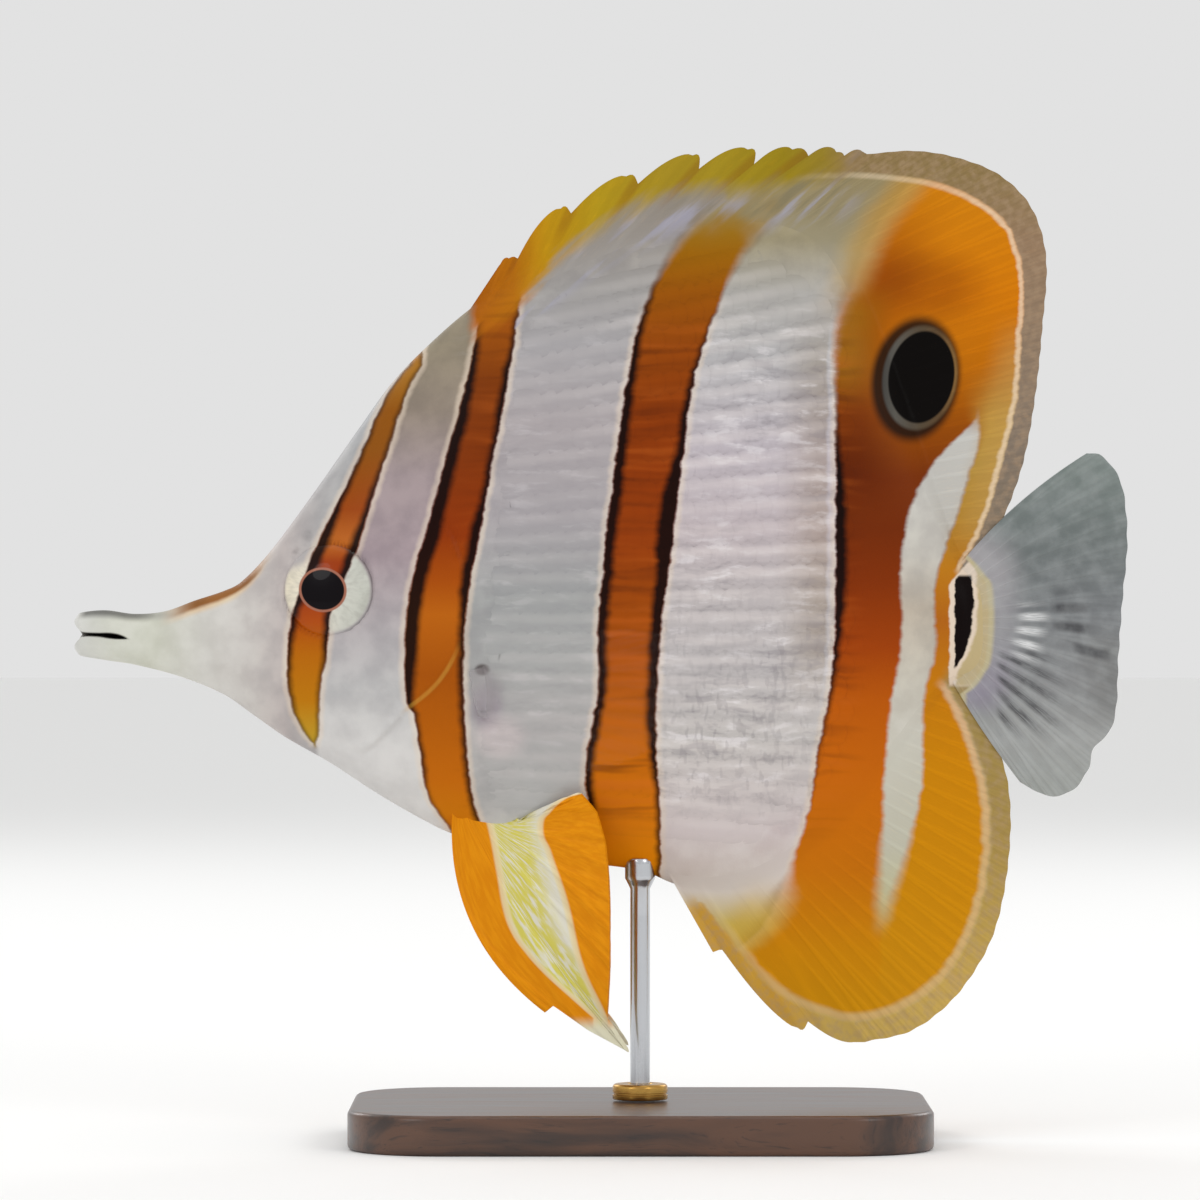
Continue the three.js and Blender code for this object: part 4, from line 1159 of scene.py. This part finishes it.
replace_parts(dorsal, "dorsal_fin_spiny", "dorsal_fin_soft")
anal = unpaired_fin("anal_fin_sheet", belly, anal_spines, (99.5, 133.2), anal_margin, 20)
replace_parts(anal, "anal_fin")

# The tail fin: a smoky fan of seventeen forked rays that sways a little out of the flat. Its rays are paler
# than the skin between them; painted highlights run along some of them, and painted shade lies in dark
# streaks between them.
tail_margin = [
    (154.3, 27.7), (156.2, 27.4), (158.3, 25.4), (159.8, 22), (160.5, 14.2), (159.8, 5.2), (159.1, -4),
    (158.7, -11.5), (157.6, -15), (155.4, -17.2), (154.4, -20.8), (151.9, -23.9), (148.5, -24.6),
    (144.2, -22.6),
]
tail_rays = 17
count = tail_rays * 14
across = np.linspace(-0.5, tail_rays - 0.5, count + 1)
roots = spaced([(136, 11.3), (139.2, 8.2), (140.1, 1), (139, -5.4), (135, -8.9)], count)
tips = scalloped(roots, spaced(tail_margin, count), across, 0.16)
roots, tips = upright(roots), upright(tips)
along = np.linspace(0, 1, 44)
points = fin_points(sunk(roots, tips, 3), tips, along, np.linspace(1.2, -0.4, count + 1))
points[..., 1] += along**2 * np.sin(2 * math.pi * points[..., 2] / 37 + 0.5)
t = along[None, :]
half = thinning(0.95, 0.22, t) + 0.08 * ray_ridge(across[:, None], t) * ease(t, 0.05, 0.3)
s, h = points[..., 0], points[..., 2]
half = swell(half, flesh_half(s, h) * stalk_end(s) - 0.5 * np.maximum(s - flesh_length, 0))
tail_material, nodes, shader = new_material("tail_fin")
stalk_colour, _, sized = add_markings(nodes)
s, y, h = nodes.on_fish(sized)
ray, fine, across_value, along_value = add_rays(nodes)
smoky = h.shade([
    (-24, 154, 157, 153), (-16, 156, 157, 155), (-6, 132, 133, 134), (4, 112, 115, 117),
    (14, 105, 112, 111), (27, 118, 128, 124),
])
base = h.shade([(-14, 134, 126, 146), (-8, 142, 136, 148), (0, 146, 144, 148), (10, 160, 157, 160)])
colour = base.mix(along_value.ease(0.16, 0.4), smoky)
past_join = s - h.line([(-9, 135.5), (-6, 138.2), (-3, 139.4), (7, 139.5), (9, 138.4), (12, 135.8)])
colour = colour.mix(past_join.ease(0.8, -0.1), (190, 178, 140))
colour = colour.mix(past_join.ease(-0.2, -0.8), stalk_colour)
darker = s.ease(150, 158) * h.within(-16, -9, -3, 2)
colour = colour.mix(darker * 0.6, (112, 112, 110))
# Painted highlights along the thick rays near the middle of the fan, and painted shade in the streaks
# between rays lower down and further back
thick_ray = abs(across_value - across_value.math("ROUND")).ease(0.42, 0.12)
broken = fine.ease(0.3, 0.6, 0.3, 1)
lit_s = s + h.line([(-4, 0.3), (-1.7, 1), (0.4, 0.6), (2.6, 0), (5, 1)])
lit_part = lit_s.within(143, 145.5, 146, 149.5) * h.within(-5, -2, 3, 5.5) * broken
lit = thick_ray * (lit_part * 0.8 + 0.02)
colour = colour.mix(lit, (240, 240, 240))
lower_part = s.within(140, 141.5, 145, 153) * h.within(-17, -12, -4, -1) * broken
rear_s = s + h.line([(-6, -3), (-1.8, -3), (0.2, 0), (8, 0)])
rear_part = rear_s.within(148.6, 150.4, 153, 156) * h.within(-6, -2, 4, 8)
shaded = (1 - thick_ray) * lower_part.math("MAXIMUM", rear_part)
colour = colour.mix(shaded * 0.85, (58, 57, 60))
smoke = sized.noise(0.35, 4).ease(0.35, 0.7)
colour = colour.mix(smoke * 0.2, (186, 190, 190))
colour = colour.mix((1 - ray) * 0.08, (70, 72, 76))
relief_normal = (ray * 0.6 + fine).bump(0.5, 0.00012)
nodes.fill(
    shader, {"Base Color": colour, "Roughness": 0.38, "Specular IOR Level": 0.25, "Normal": relief_normal}
)
tail = make_sheet("tail_fin_sheet", points, half, across, along, tail_material)
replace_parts(tail, "tail_fin")

# The pectoral fins: clear paddles, held a little off the flanks, that show as fine pale rays over the
# colours behind them.
pectoral_margin = [
    (79, 0.6), (87.5, 0.6), (94, -2.4), (96.2, -7.2), (93.2, -13), (86.5, -17.8), (78.5, -20.6),
    (70, -19.6),
]
pectoral_rays = 14
count = pectoral_rays * 12
across = np.linspace(-0.5, pectoral_rays - 0.5, count + 1)
root_s, root_top, root_low = 62.4, (62.4, -4.8), (63.6, -13.2)
roots = np.linspace(root_top, root_low, count + 1)
tips = scalloped(roots, spaced(pectoral_margin, count), across, 0.3)


def off_flank(points):
    """(s, h) points as (s, y, h) ones that spread away from the flank to the rear."""
    s, h = points.T
    return np.stack([s, flank(root_s, h) + 0.2 + (s - root_s) * 0.3, h], axis=1)


roots, tips = off_flank(roots), off_flank(tips)
along = np.linspace(0, 1, 36)
points = fin_points(sunk(roots, tips, 2), tips, along)
points[..., 1] += 1.2 * np.sin(math.pi * along)
t = along[None, :]
half = thinning(0.7, 0.1, t, 0.4) + 0.1 * ray_ridge(across[:, None], t) * ease(t, 0.05, 0.3)
clear_material, nodes, shader = new_material("pectoral_fin")
ray, _, _, along_value = add_rays(nodes)
solid = (ray * 0.01 + 0.002).math("MAXIMUM", along_value.ease(0.16, 0.05, 0, 0.35))
clear = {"Base Color": paint(178, 172, 174), "Roughness": 0.35, "Alpha": solid, "Specular IOR Level": 0.1}
nodes.fill(shader, clear)
for side, name in both_sides:
    placed = points * (1, side, 1)
    paddle = make_sheet(f"pectoral_{name}", placed, half, across, along, clear_material)
    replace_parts(paddle, f"pectoral_fin_{name}")

# The pelvic fins: a stout spine, a long first ray that ends in a thread, and four shorter rays fanned up
# over the flank. They are orange, with a pale wedge between the front rays.
pelvic_tips = [
    (71.8, 6, -57.2), (73, 6.2, -56.2), (78.2, 6.9, -59.8), (84.4, 7.6, -63.1), (81.2, 7.7, -58.2),
    (81.6, 8.2, -50.6), (81.6, 8.6, -45.6), (81.6, 8.8, -40.8), (81.4, 8.9, -36.4), (80.9, 9, -31.4),
    (79.6, 9, -26.8), (77.2, 8.8, -24), (73, 7.6, -25.6),
]
pelvic_bows = (-4.6, -3.8, -2.6, -1.6, -0.8, 0, 0, 0, 0, 0, 0, 0, 0)
pelvic_ray_places = (0, 3, 5, 7, 9, 11, 12)
key = np.linspace(0, 12, 12 * 14 + 1)
across = np.interp(key, pelvic_ray_places, (0, 1, 2, 3, 4, 5, 5.5))
roots = np.linspace((58.4, 2.2, -28), (66.5, 3, -29.4), len(key))
tips = np.stack([np.interp(key, range(13), axis) for axis in np.array(pelvic_tips, float).T], axis=1)
along = np.linspace(0, 1, 56)
points = fin_points(sunk(roots, tips, 1.6), tips, along, np.interp(key, range(13), pelvic_bows))
t = along[None, :]
stout = np.interp(key, (0, 0.5, 1, 2, 3, 4, 12), (1, 0.5, 0, 0.1, 0.5, 0.1, 0.1))[:, None]
half = thinning(0.8, 0.22, t) + stout * (0.42 - 0.2 * t)
half = half + 0.12 * ray_ridge(across[:, None], t) * ease(t, 0.05, 0.3)
pelvic_front = [
    (-58, 79.6), (-55, 76.2), (-51, 71.8), (-48.2, 69.3), (-45, 67.1), (-42, 66), (-36, 64.9), (-29, 63.5),
    (-26, 62.5),
]
pelvic_rear = [
    (-58, 80.8), (-56.5, 80.1), (-49.6, 77), (-40.5, 74.8), (-32.8, 72.2), (-29, 71), (-27, 72), (-24, 77),
]
pelvic_material, nodes, shader = new_material("pelvic_fin")
s, y, h = nodes.on_fish(nodes.sized())
ray, fine, _, _ = add_rays(nodes)
past_front = s - h.line(pelvic_front)
past_rear = s - h.line(pelvic_rear)
orange = fine.ease(0.35, 0.7).between((222, 136, 8), (232, 148, 14))
yellow_ray = fine.ease(0.34, 0.56) * past_front.ease(8.5, 4.5)
inner = (yellow_ray * 0.9).between((224, 221, 206), (214, 204, 72))
colour = orange.mix(past_front.ease(-0.35, 0.35), inner)
colour = colour.mix(past_rear.ease(-0.4, 0.4), orange)
cream_lines = abs(past_front).ease(0.75, 0.3).math("MAXIMUM", abs(past_rear).ease(0.7, 0.25))
colour = colour.mix(cream_lines * 0.8, (232, 216, 170))
colour = colour.mix(h.ease(-57.5, -60), (228, 224, 196))
colour = colour.mix((1 - ray) * 0.08, (130, 90, 60), "MULTIPLY")
relief_normal = (ray * 0.6 + fine).bump(0.5, 0.00012)
nodes.fill(
    shader, {"Base Color": colour, "Roughness": 0.42, "Specular IOR Level": 0.06, "Normal": relief_normal}
)
for side, name in both_sides:
    placed = points * (1, side, 1)
    sheet = make_sheet(f"pelvic_{name}", placed, half, across, along, pelvic_material)
    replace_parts(sheet, f"pelvic_fin_{name}")

# The base: a board of dark stained oak with rounded corners and a softened top edge, cut from one flat
# piece, sanded, and waxed to a low sheen.
base_low, base_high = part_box("stand_base")


def soften(bm, edges, radius, steps):
    """Rounds edges off."""
    bmesh.ops.bevel(bm, geom=edges, offset=radius, segments=steps, profile=0.5, affect="EDGES", material=-1)


bm = bmesh.new()
bmesh.ops.create_cube(bm, size=1)
for v in bm.verts:
    for axis in range(3):
        middle = (base_low[axis] + base_high[axis]) / 2
        v.co[axis] = middle + v.co[axis] * (base_high[axis] - base_low[axis])
corners = [e for e in bm.edges if abs(e.verts[0].co.z - e.verts[1].co.z) > 0.001]
soften(bm, corners, 0.014, 12)
level = [e for e in bm.edges if abs(e.verts[0].co.z - e.verts[1].co.z) < 1e-6]
rims = [e for e in level if len(e.link_faces) == 2 and e.calc_face_angle(0) > 0.8]
soften(bm, rims, 0.0008, 4)
wood_material, nodes, shader = new_material("stained_wood")
sized = nodes.sized()
bent = sized.noise(0.03, 2, (1, 3, 3), 1)
warped = nodes.add("VectorMath", (sized, bent.scaled(9)), operation="ADD")
growth = warped.noise(0.09, 4, (0.25, 4, 4))
pores = warped.noise(1.2, 3, (0.12, 3, 3))
colour = growth.ease(0.32, 0.68).between((44, 26, 17), (86, 54, 34))
colour = colour.mix(pores.ease(0.58, 0.7, 0, 0.6), (26, 15, 10))
rough = growth * 0.16 + 0.3
fine_bump = (growth - pores).bump(0.4, 0.00008)
nodes.fill(shader, {"Base Color": colour, "Roughness": rough, "Normal": fine_bump})
nodes.fill(shader, {"Coat Weight": 0.35, "Coat Roughness": 0.25})
base = make_piece(bm, "base_board", wood_material)
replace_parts(base, "stand_base")
for polygon in base.data.polygons:
    polygon.use_smooth = polygon.normal.z < 0.99 and polygon.normal.z > -0.99

# The rod and its collar: a steel rod, drawn and finely brushed, that ends in a small cup cut to the belly,
# and a ring of turned brass round its foot.
rod_s = 86.2  # the rod stands under this place on the fish
rod_radius, cup_radius, cup_height, cup_cone, cup_rise = 1.5, 2.3, 3.2, 1.4, 1.8


def turned(profile, steps=72):
    """A turned piece on the stand's axis, from (radius, height) pairs in millimetres."""
    bm = bmesh.new()
    line = [bm.verts.new((r / 1000, 0, z / 1000)) for r, z in profile]
    edges = [bm.edges.new(pair) for pair in zip(line, line[1:])]
    bmesh.ops.spin(bm, geom=line + edges, cent=(0, 0, 0), axis=(0, 0, 1), angle=2 * math.pi, steps=steps)
    bmesh.ops.remove_doubles(bm, verts=bm.verts, dist=2e-6)
    bmesh.ops.recalc_face_normals(bm, faces=bm.faces)
    return bm


def belly_over(x, y):
    """The height of the fish's underside over a place on the base, in millimetres."""
    s = x + rod_s
    heights = np.linspace(belly(s), belly(s) + 8, 80)
    return mouth_z * 1000 + np.interp(abs(y), flank(s, heights), heights)


base_top = base_high[2] * 1000
cup_top = mouth_z * 1000 + belly(rod_s) + cup_rise
cup_foot = cup_top - cup_height
profile = [(0, base_top + 0.3), (rod_radius, base_top + 0.3)]
profile += [(rod_radius, z) for z in np.linspace(base_top + 3, cup_foot - cup_cone, 8)]
profile += [
    (rod_radius + 0.3, cup_foot - cup_cone * 0.55),
    (cup_radius - 0.15, cup_foot - 0.1),
    (cup_radius, cup_foot + 0.2),
]
profile += [(cup_radius, z) for z in np.linspace(cup_foot + 0.6, cup_top - 0.25, 5)]
profile += [(r, cup_top) for r in (cup_radius - 0.12, 2, 1.6, 1.2, 0.8, 0.4, 0)]
rod = turned(profile)
for v in rod.verts:
    if v.co.z > (cup_foot + 0.3) / 1000:
        v.co.z = min(v.co.z, (belly_over(v.co.x * 1000, v.co.y * 1000) - 0.06) / 1000)
steel_material, nodes, shader = new_material("polished_steel")
sized = nodes.sized()
drawn = sized.noise(1, 3, (6, 6, 0.15))
rough = drawn * 0.2 + 0.14
fine_bump = drawn.bump(0.25, 0.00002)
nodes.fill(
    shader, {"Base Color": paint(196, 198, 202), "Metallic": 1, "Roughness": rough, "Normal": fine_bump}
)
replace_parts(make_piece(rod, "rod", steel_material), "stand_rod")

collar_radius, collar_height, collar_bevel, groove = 4.2, 2.4, 0.6, 0.18
foot, inner = base_top + 0.3, rod_radius + 0.3
top = foot + collar_height
profile = [(inner, foot), (collar_radius - 0.15, foot), (collar_radius, foot + 0.15)]
profile += [(collar_radius, foot + 0.7), (collar_radius - groove, foot + 0.8)]
profile += [(collar_radius - groove, foot + 1), (collar_radius, foot + 1.1)]
for turn in np.linspace(0, math.pi / 2, 7):
    r = collar_radius - collar_bevel + collar_bevel * math.cos(turn)
    profile.append((r, top - collar_bevel + collar_bevel * math.sin(turn)))
profile += [(inner + 0.15, top), (inner, top - 0.15), (inner, foot)]
brass_material, nodes, shader = new_material("turned_brass")
sized = nodes.sized()
x, y, z = nodes.parts("SeparateXYZ", (sized,))
lathe_lines = nodes.streaks(nodes.length(x, y) * 7, z * 7, 0, 2)
tarnish = sized.noise(0.5, 4)
colour = tarnish.ease(0.35, 0.7).between((202, 160, 84), (168, 124, 62))
rough = lathe_lines * 0.2 + 0.18
fine_bump = lathe_lines.bump(0.3, 0.00003)
nodes.fill(shader, {"Base Color": colour, "Metallic": 1, "Roughness": rough, "Normal": fine_bump})
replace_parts(make_piece(turned(profile), "collar", brass_material), "stand_collar")

# The floor is a broad pale board, lit by soft boxes overhead and on both sides as for a museum piece.
# The camera looks straight at the fish's left side, level with the middle of the photograph.
floor_mesh = bpy.data.meshes.new("floor")
bm = bmesh.new()
bmesh.ops.create_grid(bm, x_segments=1, y_segments=1, size=6)
bm.to_mesh(floor_mesh)
bm.free()
floor = bpy.data.objects.new("floor", floor_mesh)
floor_material, nodes, shader = new_material("floor")
nodes.fill(shader, {"Base Color": paint(250, 250, 249), "Roughness": 0.8})
floor_mesh.materials.append(floor_material)
bpy.context.scene.collection.objects.link(floor)

world = bpy.data.worlds.new("studio")
world.use_nodes = True
background = world.node_tree.nodes["Background"].inputs
background["Color"].default_value = (1, 1, 1, 1)
background["Strength"].default_value = 0.76
bpy.context.scene.world = world
aim = Vector((0, 0, 0.08))
for name, spot, size, power in (
    ("overhead", (0, 0, 0.9), 0.7, 1.2),
    ("left_front", (-0.7, -0.9, 0.6), 0.4, 1.7),
    ("left_rear", (0.7, -0.9, 0.6), 0.4, 1.7),
    ("right_front", (-0.7, 0.9, 0.6), 0.4, 1.7),
    ("right_rear", (0.7, 0.9, 0.6), 0.4, 1.7),
):
    light = bpy.data.lights.new(name, "AREA")
    light.shape = "DISK"
    light.size = size
    light.energy = power
    lamp = bpy.data.objects.new(name, light)
    lamp.location = spot
    lamp.rotation_euler = (aim - Vector(spot)).to_track_quat("-Z", "Y").to_euler()
    bpy.context.scene.collection.objects.link(lamp)

camera_data = bpy.data.cameras.new("camera")
camera_data.lens = 200
camera_data.sensor_width = 36
photo_width = 0.18286  # metres across the photograph, at the fish
camera = bpy.data.objects.new("camera", camera_data)
camera.location = (-0.00611, -photo_width * camera_data.lens / camera_data.sensor_width, 0.08236)
camera.rotation_euler = (math.pi / 2, 0, 0)
bpy.context.scene.collection.objects.link(camera)
bpy.context.scene.camera = camera
bpy.context.scene.view_settings.view_transform = "Standard"
bpy.context.scene.view_settings.look = "None"
